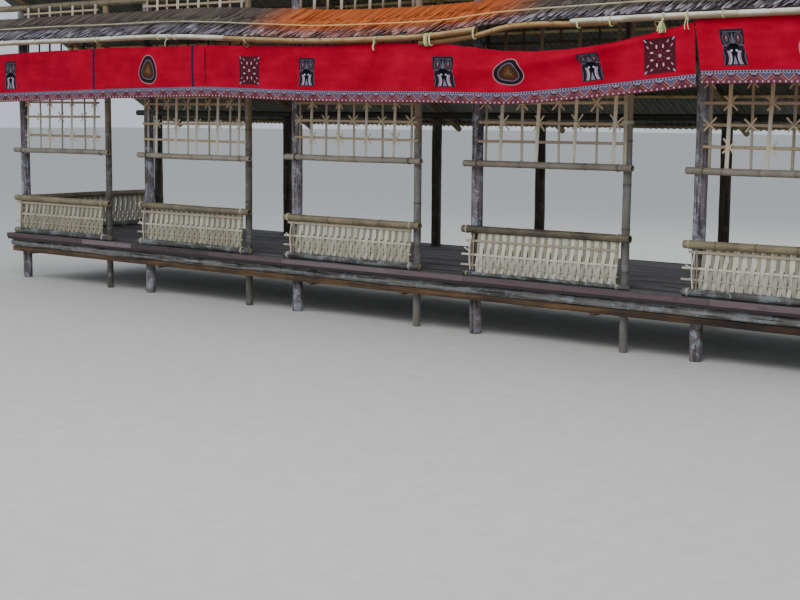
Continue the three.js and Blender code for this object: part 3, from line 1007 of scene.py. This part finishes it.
def onRoof(x, run, lift):
    return roofPlace @ at(x, run, lift)


def buildPlates():
    for side, surface in (("front", tanCulm), ("back", darkCulm)):
        node = f"{side}_plate"
        pole = culm(*ends(node, across), half(node).z, 16, 0.42)
        makePiece(f"{node}_culm", [pole], surface, "bamboo_culm", node)


def rafters():
    for x in backPosts:
        foot, head = (onRoof(x, run, roof["rafterLift"]) for run in roof["rafterRun"])
        yield culm(foot, head, roof["rafterRadius"], 14)


def purlins():
    reach = half("roof_frame").x
    first, last = roof["purlinRun"]
    for purlin in range(roof["purlins"]):
        run = first + (last - first) * purlin / (roof["purlins"] - 1)
        foot, head = (onRoof(x, run, roof["purlinLift"]) for x in (-reach, reach))
        yield culm(foot, head, roof["purlinRadius"], 12, 0.4)


def corrugated(width, length):
    # one sheet, its waves running down the slope
    waves = round(width / roof["wave"])
    part = freshMesh()
    bmesh.ops.create_grid(part, x_segments=waves * 8, y_segments=4, size=0.5)
    moved(part, Matrix.Diagonal((waves * roof["wave"], length, 1, 1)))
    for vert in part.verts:
        vert.co.z = roof["waveHeight"] / 2 * (1 + math.cos(math.tau * vert.co.x / roof["wave"]))
    bmesh.ops.recalc_face_normals(part, faces=part.faces[:])
    bmesh.ops.solidify(part, geom=part.faces[:], thickness=roof["metal"])
    return part


def roofSheets():
    reach = half("roof_sheets").x
    first, last = roof["sheetRun"]
    course = (last - first + roof["lap"]) / 2
    sheets = round(2 * reach / roof["cover"])
    cover = 2 * reach / sheets
    for row, run in enumerate((last - course / 2, first + course / 2)):
        for column in range(sheets):
            width = cover + (roof["wave"] if column < sheets - 1 else 0)
            lift = roof["sheetLift"] + row * 0.003 + (column % 2) * 0.0015
            tilt = Matrix.Rotation(vary(-0.002, 0.002), 4, "Z")
            place = Matrix.Translation((-reach + column * cover + width / 2, run + vary(-0.01, 0.01), lift))
            yield moved(corrugated(width, course - 0.004), roofPlace @ place @ tilt)


buildPlates()
makePiece("roof_rafters", rafters(), brownCulm, "bamboo_culm", "roof_frame")
makePiece("roof_purlins", purlins(), purlinCulm, "bamboo_culm", "roof_frame")
makePiece("roof_corrugated", roofSheets(), metalSheet, "metal_sheet", "roof_sheets", sharp=50)
print("roof made")


# Awning
awning = {
    "rafterLift": -0.0678,
    "rafterRun": (-0.02, 0.816),
    "rafters": (-6.0083, -3.4883, -0.9683, 1.5517, 4.0717, 5.9903),
    "poleRadius": 0.030,
    "poleLift": -0.0075,
    # the eave's middle culm in painted orange light, the tan one tucked under its end, and the two pale ones
    "orangeLitSpan": (-1.3, 2.13),
    "tanSpan": (1.43, 3.68),
    "paleStart": 3.2,
    "tanRadius": 0.0275,
    "tuck": ((1.3, 0.056), (2.0, 0.056), (2.15, 0.050), (2.5, 0.004), (2.9, 0.004), (3.2, 0.022),
             (3.8, 0.028)),
    "headRun": 0.6449,
    "headLift": -0.0083,
    "battenRadius": 0.008,
    "battenRun": 0.19,
    "battenSkew": 0.01222,      # the batten slants this much along the house
    "battenLift": 0.0863,
    # palm leaf courses: range of the tips, root, pitch, width, lift, range of tones
    "courses": (((-0.022, 0.02), 0.27, 0.074, 0.056, 0.031, (0.15, 1.0)),
                ((0.03, 0.07), 0.34, 0.047, 0.038, 0.038, (0.1, 1.0)),
                ((0.10, 0.17), 0.46, 0.036, 0.034, 0.046, (0.1, 1.0)),
                ((0.22, 0.30), 0.58, 0.021, 0.034, 0.054, (0.3, 0.8)),
                ((0.36, 0.44), 0.69, 0.021, 0.034, 0.062, (0.3, 0.8))),
    "leafThick": 0.0025,
    "leafInset": 0.02,
    "bedRun": 0.685,
    "bedPitch": 0.049,
    "bedWidth": 0.062,
    "bedLift": 0.0245,
}
mauveLeaf = ("#161218", "#4C444B", "#867C86", "#BCB4BE")
brownLeaf = ("#1A1412", "#443832", "#655A4C", "#8A7E6E")
# tones of the painted orange light on the leaves
orangeLightLeaf = ("#6A2A06", "#B44C08", "#DA680E", "#F0902E")
# painted shade: near-black tones for the leaf bed, so the gaps between the leaves read dark
shadowLeaf = ("#0E0C0C", "#1E1A18", "#2E2824", "#453C34")
palmLeaf = leafFinish("driedPalmLeaf", mauveLeaf, brownLeaf, orangeLightLeaf)
palmShadowBed = leafFinish("palmLeafShadow", shadowLeaf, shadowLeaf, shadowLeaf)
outward = (awningPlace.to_3x3() @ up).normalized()


def onAwning(x, run, lift):
    return awningPlace @ at(x, run, lift)


def eaveCulm(start, end, radius):
    return sagged(culm(*(onAwning(x, 0, awning["poleLift"]) for x in (start, end)), radius, 20, 0.62, 0.0))


def topSide(point):
    # 1 on top of the eave, 0 under it
    height = point.z + smoothLine(eaveSag, point.x) - onAwning(0, 0, awning["poleLift"]).z
    return clamped(0.5 + height / awning["poleRadius"] * 0.7)


def tuckedTop(point):
    # painted shade under the middle culm, apart from its cut end
    if awning["tanSpan"][0] + 0.08 < point.x < awning["orangeLitSpan"][1]:
        return 0.1
    return topSide(point + up * smoothLine(awning["tuck"], point.x))


def paleEaves():
    reach = half("eave_pole").x
    for start, end in ((-reach, awning["orangeLitSpan"][0]), (awning["paleStart"], reach)):
        yield eaveCulm(start, end, awning["poleRadius"]), topSide


def middleEaves():
    yield eaveCulm(*awning["orangeLitSpan"], awning["poleRadius"]), topSide
    tucked = eaveCulm(*awning["tanSpan"], awning["tanRadius"])
    for vert in tucked.verts:
        low = smoothLine(awning["tuck"], vert.co.x)
        vert.co += back * low * 0.5 - up * low
    yield tucked, tuckedTop


def awningRafters():
    for x in awning["rafters"]:
        foot, head = (onAwning(x, run, awning["rafterLift"]) for run in awning["rafterRun"])
        yield sagged(culm(foot, head, awning["poleRadius"], 14, 0.3))


def awningHead():
    reach = half("awning_frame").x
    foot, head = (onAwning(x, awning["headRun"], awning["headLift"]) for x in (-reach, reach))
    return sagged(culm(foot, head, awning["poleRadius"], 14, 0.4))


def awningBatten():
    reach = half("thatch_batten").x
    foot, head = (onAwning(x, awning["battenRun"] - x * awning["battenSkew"], awning["battenLift"])
                  for x in (-reach, reach))
    return sagged(culm(foot, head, awning["battenRadius"], 10, 0.45, 0.002))


def leafPlaces(pitch):
    # how many leaves lie along the awning, and how far they reach
    reach = half("awning_thatch").x - awning["leafInset"]
    return round(2 * reach / pitch), reach


def leaves():
    for tips, root, pitch, width, lift, tones in awning["courses"]:
        count, reach = leafPlaces(pitch)
        for leaf in range(count):
            x = -reach + 2 * reach * (leaf + vary(0.2, 0.8)) / count
            foot = onAwning(x, root + vary(-0.01, 0.01), lift + vary(-0.001, 0.003))
            head = onAwning(x + chance.gauss(0, 0.010), vary(*tips), lift + vary(-0.004, 0.004))
            curl = vary(-0.004, 0.006)
            tilt = (outward + across * vary(-0.3, 0.3)).normalized()
            part = strip(foot, head, tilt, width * vary(0.75, 1.1), awning["leafThick"], 3, 0.6,
                         lambda share: curl * share * share, vary(0.25, 0.8))
            yield sagged(part), vary(*tones)


def leafBed():
    # the broad leaves that lie under the courses, seen from below, near black as painted shade so the gaps
    # between the leaves read dark
    count, reach = leafPlaces(awning["bedPitch"])
    for leaf in range(count):
        x = -reach + 2 * reach * (leaf + 0.5) / count
        lift = awning["bedLift"] + 0.003 * (leaf % 2)
        foot = onAwning(x, awning["bedRun"], lift)
        head = onAwning(x + vary(-0.004, 0.004), vary(0, 0.01), lift)
        yield sagged(strip(foot, head, outward, awning["bedWidth"], awning["leafThick"], 2, 0.8))


makePiece("eave_culm", paleEaves(), paleCulm, "pale_bamboo", "eave_pole")
makePiece("eave_middle_culm", middleEaves(), orangeLitCulm, "pale_bamboo", "eave_pole")
makePiece("awning_rafters", awningRafters(), brownCulm, "bamboo_culm", "awning_frame")
makePiece("awning_head_culm", [awningHead()], tanCulm, "bamboo_culm", "awning_frame")
makePiece("awning_batten", [awningBatten()], thinCulm, "pale_bamboo", "thatch_batten")
makePiece("awning_leaves", leaves(), palmLeaf, "thatch", "awning_thatch", sharp=60)
makePiece("awning_leaf_bed", leafBed(), palmShadowBed, "thatch", "awning_thatch", sharp=60)
print("awning made")


# Cloth frieze: four lengths, hung from their folded top edges
frieze = {
    "seams": (-6.3, -3.37, -1.65, 4.43, 6.3),
    # each length's left and right edge at its foot and at its top, from the seams
    "slants": (((0, 0), (0, 0)), ((0, 0), (0, 0)), ((0, 0), (0.02, -0.015)), ((0.07, -0.005), (0, 0))),
    "cut": 0.64,
    "grid": 0.025,
    "foldRadius": 0.006,
    "plane": -0.664,
    "bands": (-3.60, -1.85),    # narrow woven bands across the cloth
    # heights of the hanging edge and of the lower edge along the house
    "top": (
        ((-6.3, 2.90), (-5.48, 2.92), (-4.44, 2.942), (-3.37, 2.953)),
        ((-3.37, 2.953), (-2.5, 2.950), (-1.65, 2.946)),
        ((-1.65, 2.946), (-0.1, 2.905), (1.1, 2.905), (1.75, 2.875), (2.45, 2.80), (3.06, 2.795),
         (3.55, 2.84), (4.0, 2.917), (4.43, 2.998)),
        ((4.43, 3.018), (5.4, 3.02), (5.99, 2.965), (6.3, 2.98)),
    ),
    "foot": (
        ((-6.3, 2.315), (-5.5, 2.323), (-3.59, 2.36), (-3.37, 2.362)),
        ((-3.37, 2.366), (-1.65, 2.385)),
        ((-1.65, 2.385), (0, 2.335), (1.56, 2.32), (2.46, 2.307), (3.07, 2.34), (3.8, 2.40), (4.43, 2.456)),
        ((4.43, 2.482), (5.4, 2.480), (6.3, 2.45)),
    ),
    # the slack that hangs forward: place along the house, height up the cloth, depth
    "slackHeight": ((1.0, 0.36), (2.0, 0.33), (2.8, 0.37), (3.5, 0.43), (4.1, 0.52), (4.6, 0.56)),
    "slackDepth": ((1.0, 0.0), (1.7, 0.012), (2.5, 0.045), (3.1, 0.05), (3.7, 0.04), (4.3, 0.015),
                   (4.6, 0.0)),
    "slackSpread": (0.045, 0.07),
    # motifs: place, kind (1 buffalo, 2 rings, 3 star square), width, height over and under its middle,
    # middle above the foot, lean
    "motifs": (
        (-5.26, 1, 0.235, 0.35, 0.35, 0.328, 0.0),
        (-2.62, 2, 0.33, 0.34, 0.34, 0.31, 0.0),
        (-0.95, 3, 0.30, 0.30, 0.30, 0.30, 0.0),
        (-0.10, 1, 0.22, 0.29, 0.29, 0.30, 0.0),
        (1.724, 1, 0.26, 0.29, 0.29, 0.30, 0.12),
        (2.505, 2, 0.36, 0.25, 0.25, 0.289, 0.0),
        (3.395, 1, 0.225, 0.19, 0.30, 0.30, 0.26),
        (4.09, 3, 0.307, 0.30, 0.30, 0.30, 0.0),
        (4.765, 1, 0.22, 0.30, 0.30, 0.30, 0.15),
        (5.53, 2, 0.34, 0.34, 0.34, 0.31, 0.0),
    ),
    "repeat": 0.215,    # of the zigzag in the border
}
ringTones = ((0.0, "#7A6A50"), (0.05, "#4A3A2C"), (0.08, "#8A6238"), (0.12, "#3A2820"), (0.17, "#6A3E24"),
             (0.21, "#2E1E1C"), (0.25, "#553222"), (0.29, "#281C20"), (0.33, "#7A6E78"), (0.345, "#1E161C"),
             (0.455, "#2A1C22"), (0.470, "#B08A90"), (0.485, "#9A7C84"))


def clothFinish():
    wire = startFinish("redFriezeCloth", {"Specular IOR Level": 0.08})

    def mapPair(name):
        spot = wire.node("UVMap", uv_map=name)
        return tuple(wire.node("SeparateXYZ", {0: spot}, out) for out in (0, 1))

    def repeat(value, length):
        # distance from the middle of each repeat, in metres
        return (value / length).maths("FRACT") * length - length / 2

    def within(value, reach, soft=0.0012):
        return 1 - abs(value).above(reach, soft)

    def spot(x, y, acrossSize, upSize, soft=0.12):
        wide, tall = x / acrossSize, y / upSize
        return 1 - (wide * wide + tall * tall).maths("SQRT").above(1, soft)

    u, v = mapPair("cloth")
    p, q = mapPair("motif")
    kind = wire.read("kind")
    weave = wire.speckle(420, 2, 0.5)
    cloud = wire.speckle(3.0, 3, 0.55, 6)
    streak = wire.speckle(14, 4, 0.6, 11, "weft")
    red = cloud * 0.5 + streak * 0.35 + weave * 0.15
    red = red.ramp((0.32, "#90001C"), (0.5, "#AA0026"), (0.66, "#BE0030"))

    # the printed border, from the foot up: hem, beads, nested V lines, dotted strip
    rise = v - 0.028 - abs(repeat(u, frieze["repeat"])) * 0.81
    zone = v.between(0.027, 0.086)
    flag = abs(repeat(u + frieze["repeat"] / 2, frieze["repeat"]))
    ground = (cloud * 0.3 + streak * 0.3 + weave * 0.4).ramp((0.38, "#4E1F2C"), (0.62, "#7C4654"))
    colour = layered(
        red,
        (1 - v.above(0.114, 0.001), ground),
        (within(rise + 0.030, 0.003, 0.002) * zone * 0.7, "#A07868"),
        (within(rise + 0.014, 0.004, 0.002) * zone * 0.8, "#8A4628"),
        (rise.above(0, 0.001) * zone, "#241A2A"),
        (within(rise - 0.002, 0.0045, 0.002) * zone, "#A48894"),
        (within(rise - 0.022, 0.0045, 0.002) * zone, "#827490"),
        (rise.above(0.036, 0.002) * zone, "#6E607E"),
        ((flag < (v - 0.046) * 1.4) * v.between(0.058, 0.086), "#2E1620"),
        ((flag < (v - 0.052) * 1.1) * v.between(0.070, 0.086), "#847A92"),
        (v.between(0.085, 0.110), (weave * 0.5 + streak * 0.5).ramp((0.35, "#7A7088"), (0.65, "#90869A"))),
        (within(repeat(u, 0.0307), 0.0068) * within(v - 0.098, 0.0070), "#0C0B18"),
        (v.between(0.110, 0.114), "#3A1A3C"),
        (spot(repeat(u, 0.05375), v - 0.017, 0.0078, 0.0085, 0.25), "#C4AAB4"),
        (1 - v.above(0.005, 0.001), "#4E1C28"))

    # buffalo head, in shares of its width and height
    side = abs(p)
    waist = 0.5 - q.between(-0.12, 0.10, 0.08) * 0.05
    lower = q.between(-0.47, -0.10, 0.01)
    bend = side - (q + 0.27) * (q + 0.27) * 2.0
    eyes = ((0.26, 0.23, 0.165, 0.175, "#5E5662"), (0.255, 0.23, 0.13, 0.15, "#221A20"),
            (0.25, 0.24, 0.070, 0.11, "#5E4248"), (0.25, 0.26, 0.030, 0.05, "#8A6E70"))
    buffalo = layered(
        (weave * 0.5).mix("#14141E", "#262A3A"),
        (((side > waist - 0.05) + (abs(q) > 0.465)) * 0.6, "#2E2A34"),
        (q.between(0.41, 0.44, 0.004) * (side < 0.42), "#4E4858"),
        *[(spot(side - x, q - y, wide, tall), code) for x, y, wide, tall, code in eyes],
        ((side < (0.42 - q) * 0.30) * q.between(0.05, 0.40, 0.01), "#625A6A"),
        (spot(side - 0.37, q - 0.01, 0.12, 0.06), "#585062"),
        (spot(side - 0.34, q + 0.01, 0.10, 0.035), "#1A1B2A"),
        (within(bend - 0.43, 0.022) * q.between(-0.47, -0.04, 0.01), "#56525A"),
        (within(bend - 0.225, 0.036) * lower, "#A07C8C"),
        (within(bend - 0.15, 0.030) * lower, "#B4A8B8"),
        (spot(p, q - 0.02, 0.22, 0.085), "#07080C"),
        ((side < 0.13 + (q + 0.02) * 0.3) * q.between(-0.22, 0.02, 0.01), "#0B0D14"),
        ((side < (-0.23 - q) * 0.42) * q.between(-0.47, -0.23, 0.004), "#7C748C"),
        (spot(side - 0.11, q + 0.093, 0.045, 0.030, 0.25), "#C4BCC8"))

    # rings, in shares of their width and height
    wobble = (q.maths("ARCTAN2", p) * 3 + 0.52).maths("SINE") * 0.035
    radius = (p * p + q * q).maths("SQRT") + wobble + weave * 0.01

    # star square: lens marks round a rosette, in shares of its side
    far = side.maths("MAXIMUM", abs(q))
    near = side.maths("MINIMUM", abs(q))
    slope = (far + near) * 0.7071
    skew = (far - near) * 0.7071
    marks = ((far, near, 0.26, 0.105, 0.055, 0.024, "#D8B0BA"),
             (far, near, 0.36, 0.0, 0.03, 0.012, "#7A4450"),
             (far, near, 0.13, 0.05, 0.03, 0.012, "#8A3A4A"),
             (slope, skew, 0.46, 0.085, 0.05, 0.019, "#B890A0"),
             (slope, skew, 0.63, 0.0, 0.055, 0.019, "#A8A4C0"))
    star = layered(
        (weave * 0.6).mix("#42161E", "#5A2630"),
        *[(spot(a - x, b - y, wide, tall, 0.25), code) for a, b, x, y, wide, tall, code in marks],
        (spot(p, q, 0.05, 0.05, 0.3), "#B8909A"))

    left, right = (within(u - place, 0.018, 0.003) for place in frieze["bands"])
    colour = layered(
        colour,
        (within(kind - 1, 0.3) * ((side < waist) * within(q, 0.5, 0.004)), buffalo),
        (within(kind - 2, 0.3) * (radius < 0.49), radius.ramp(*ringTones)),
        (within(kind - 3, 0.3) * within(p, 0.5, 0.01) * within(q, 0.5, 0.01), star),
        ((left + right) * v.above(0.114, 0.001), "#241A3C"))
    return closeFinish(wire, colour, 0.85 - weave * 0.1, weave, 0.0006, 0.5)


friezeCloth = clothFinish()


def drapeDepth(x, length, share, hang, order):
    # how far the cloth stands forward of its plane
    depth = 0.012 * noise.noise(at(x * 1.6, length * 1.2, order)) * (0.3 + 0.7 * math.sin(math.pi * share))
    depth += 0.007 * math.sin(x * 8 + 3 * share + order) * share * (1 - 0.5 * share)
    depth += 0.006 * noise.noise(at(x * 5 + length * 6, length * 3 - x, 3 + order))
    if frieze["slackDepth"][0][0] < x < frieze["slackDepth"][-1][0]:
        off = length - smoothLine(frieze["slackHeight"], x)
        off /= frieze["slackSpread"][0 if off > 0 else 1]
        depth += smoothLine(frieze["slackDepth"], x) * math.exp(-off * off)
    # held back along the hanging edge
    return depth * clamped((hang - length) / 0.03)


def hungPoint(x, length, left, right, order):
    # where a point of the flat cloth hangs, with its top edge folded over
    (leftFoot, leftTop), (rightFoot, rightTop) = frieze["slants"][order]
    top = smoothLine(frieze["top"][order], x)
    foot = smoothLine(frieze["foot"][order], x)
    radius = frieze["foldRadius"]
    over = length - (top - foot)
    share = min(length / (top - foot), 1)
    slide = max(0, 1 - (x - left) / 1.2) * (leftFoot + (leftTop - leftFoot) * share)
    slide += max(0, 1 - (right - x) / 1.2) * (rightFoot + (rightTop - rightFoot) * share)
    y = postLine + frieze["plane"] - drapeDepth(x, length, share, top - foot, order)
    if over <= 0:
        return at(x + slide, y, foot + length)
    turn = min(over / radius, math.pi)
    drop = max(over - math.pi * radius, 0)
    return at(x + slide, y + radius * (1 - math.cos(turn)), top + radius * math.sin(turn) * 0.5 - drop)


def clothLength(order, left, right):
    shape = bmesh.new()
    bmesh.ops.create_grid(shape, x_segments=round((right - left) / frieze["grid"]),
                          y_segments=round(frieze["cut"] / frieze["grid"]), size=0.5)
    clothMap, motifMap = (shape.loops.layers.uv.new(name) for name in ("cloth", "motif"))
    kindLayer = shape.faces.layers.float.new("kind")
    flat = {vert: (left + (vert.co.x + 0.5) * (right - left), (vert.co.y + 0.5) * frieze["cut"])
            for vert in shape.verts}
    for face in shape.faces:
        spotX = sum(flat[vert][0] for vert in face.verts) / len(face.verts)
        nearest = min(frieze["motifs"], key=lambda motif: abs(motif[0] - spotX))
        centre, kind, wide, over, below, height, lean = nearest
        near = abs(centre - spotX) < 0.26 and left + 0.1 < centre < right - 0.1
        face[kindLayer] = kind if near else 0
        for loop in face.loops:
            x, length = flat[loop.vert]
            rise = (length - height) / (over if length > height else below)
            loop[clothMap].uv = (x, length)
            loop[motifMap].uv = ((x - centre) / wide + lean * rise, rise)
    for vert, (x, length) in flat.items():
        vert.co = hungPoint(x, length, left, right, order)
    bmesh.ops.recalc_face_normals(shape, faces=shape.faces[:])
    return shape


for i, (left, right) in enumerate(zip(frieze["seams"], frieze["seams"][1:]), 1):
    piece = closePiece(f"frieze_cloth_{i}", clothLength(i - 1, left, right), [friezeCloth],
                       [f"cloth_frieze_{i}"], 80)
print("frieze made")


# Lashings: places of the eave's ties, and how far their tails hang
eaveTies = ((-4.67, 0), (-2.38, 0), (-2.22, 0.10), (-2.09, 0), (0.88, 0.12), (1.53, 0), (1.59, 0), (2.12, 0),
            (3.28, 0), (3.62, 0), (4.14, 0.11), (4.37, 0.13), (4.71, 0))


def railTies():
    y = middle("front_railing_1").y
    for left, right, (_, radius, rises) in zip(leftPosts, rightPosts, rail["panels"]):
        for x, rise in ((left - postRadius * 0.7, rises[0]), (right - culmRadius * 0.7, rises[1])):
            yield from band(at(x, y, rail["highPole"] + rise), across, rail["poleRadius"], 0.0035)
            yield from band(at(x, y, rail["deckTop"] + radius), across, radius, 0.0035)


def latticeTies():
    for left, right, panel in zip(leftPosts, rightPosts, lattice["panels"]):
        for x in (left + postRadius + 0.012, right - culmRadius - 0.012):
            centre = at(x, postLine + lattice["poleOffset"], lattice["poleHeight"] - panel[-1])
            yield from band(centre, across, lattice["poleRadius"], 0.0028)


def columnTie():
    # holds panel 4's extra column to its culm post
    centre = at(rightPosts[3], culmLine - 0.012, 2.15)
    for turn in range(4):
        yield windRing(centre + up * (turn - 1.5) * 0.008, up, across, 0.050, 0.062, 0.004)


def eaveRings():
    # ties round the eave culm, some with a hanging tail
    radius = awning["poleRadius"]
    overlaps = ((awning["tanSpan"][0], awning["orangeLitSpan"][1]), (awning["paleStart"], awning["tanSpan"][1]))
    for x, tail in (*eaveTies, *[(x, 0) for x in awning["rafters"][:4]]):
        centre = onAwning(x, 0, awning["poleLift"]) - up * smoothLine(eaveSag, x)
        doubled = any(start < x < end for start, end in overlaps)
        deep = radius + (smoothLine(awning["tuck"], x) * 0.5 if doubled else 0)
        for turn in (-1, 0, 1):
            yield windRing(centre + up * (radius - deep) + across * turn * 0.0065, across, up, deep + 0.003,
                           radius + 0.003, 0.0035)
        for number in range(2 if tail else 0):
            knot = centre - back * (radius + 0.006) - up * radius * 0.3 + across * 0.012 * number
            end = knot - up * tail * vary(0.7, 1) + across * vary(-0.02, 0.03)
            yield strip(end, knot, -back, 0.009, 0.0025, 4, 0.7, lambda share: 0.012 * math.sin(5 * share))
    # a wad of split bamboo knotted under the eave
    knot = onAwning(4.10, 0, awning["poleLift"]) - up * (radius + 0.012)
    for number in range(9):
        side = at(vary(-0.045, 0.035), vary(-0.02, 0.01), -vary(0.05, 0.10))
        top = knot + across * vary(-0.015, 0.03)
        bulge = vary(-0.02, 0.02)
        yield strip(top + side, top, -back, 0.012, 0.003, 5, 0.7,
                    lambda share: bulge * math.sin(math.pi * share)), vary(0.1, 1)


makePiece("front_lashings", railTies(), paleTie, "woven_bamboo", *[f"front_railing_{i}" for i in panels])
makePiece("lattice_lashings", latticeTies(), darkTie, "lattice_bamboo", *[f"lattice_{i}" for i in panels])
makePiece("column_tie", columnTie(), paleTie, "lattice_bamboo", "lattice_4")
makePiece("eave_ties", eaveRings(), limeTie, "pale_bamboo", "eave_pole")
print("lashings made")

# Floor and light
studio = {
    "floor": 150,
    "air": {"Color": (0.82, 0.90, 1.0, 1), "Strength": 0.75},
    # lamps: place, aim, size, power
    "lamps": {
        "key_light": ((6, -10, 10), (1, -1, 1.5), 6, 800),
        "fill_light": ((-9, -9, 7), (-1, -1, 1.5), 8, 300),
        "back_light": ((2, 10, 9), (0, 0, 1.5), 8, 450),
    },
}


def buildStudio():
    shape = bmesh.new()
    bmesh.ops.create_grid(shape, x_segments=1, y_segments=1, size=studio["floor"])
    mesh = bpy.data.meshes.new("studio_floor")
    shape.to_mesh(mesh)
    shape.free()
    wire = startFinish("paleFloor")
    tone = wire.speckle(6, 3, 0.6).ramp((0.3, "#C9C6C0"), (0.7, "#D2CFC9"))
    mesh.materials.append(closeFinish(wire, tone, 0.9))
    setDown("studio_floor", mesh)
    world = bpy.data.worlds.new("soft_studio")
    world.use_nodes = True
    for name, value in studio["air"].items():
        world.node_tree.nodes["Background"].inputs[name].default_value = value
    bpy.context.scene.world = world
    for name, (place, aim, size, power) in studio["lamps"].items():
        lamp = bpy.data.lights.new(name, "AREA")
        lamp.energy = power
        lamp.size = size
        turn = (Vector(aim) - Vector(place)).to_track_quat("-Z", "Y").to_matrix().to_4x4()
        setDown(name, lamp).matrix_world = Matrix.Translation(place) @ turn


buildStudio()
bpy.data.meshes.remove(holder)
print("studio made")
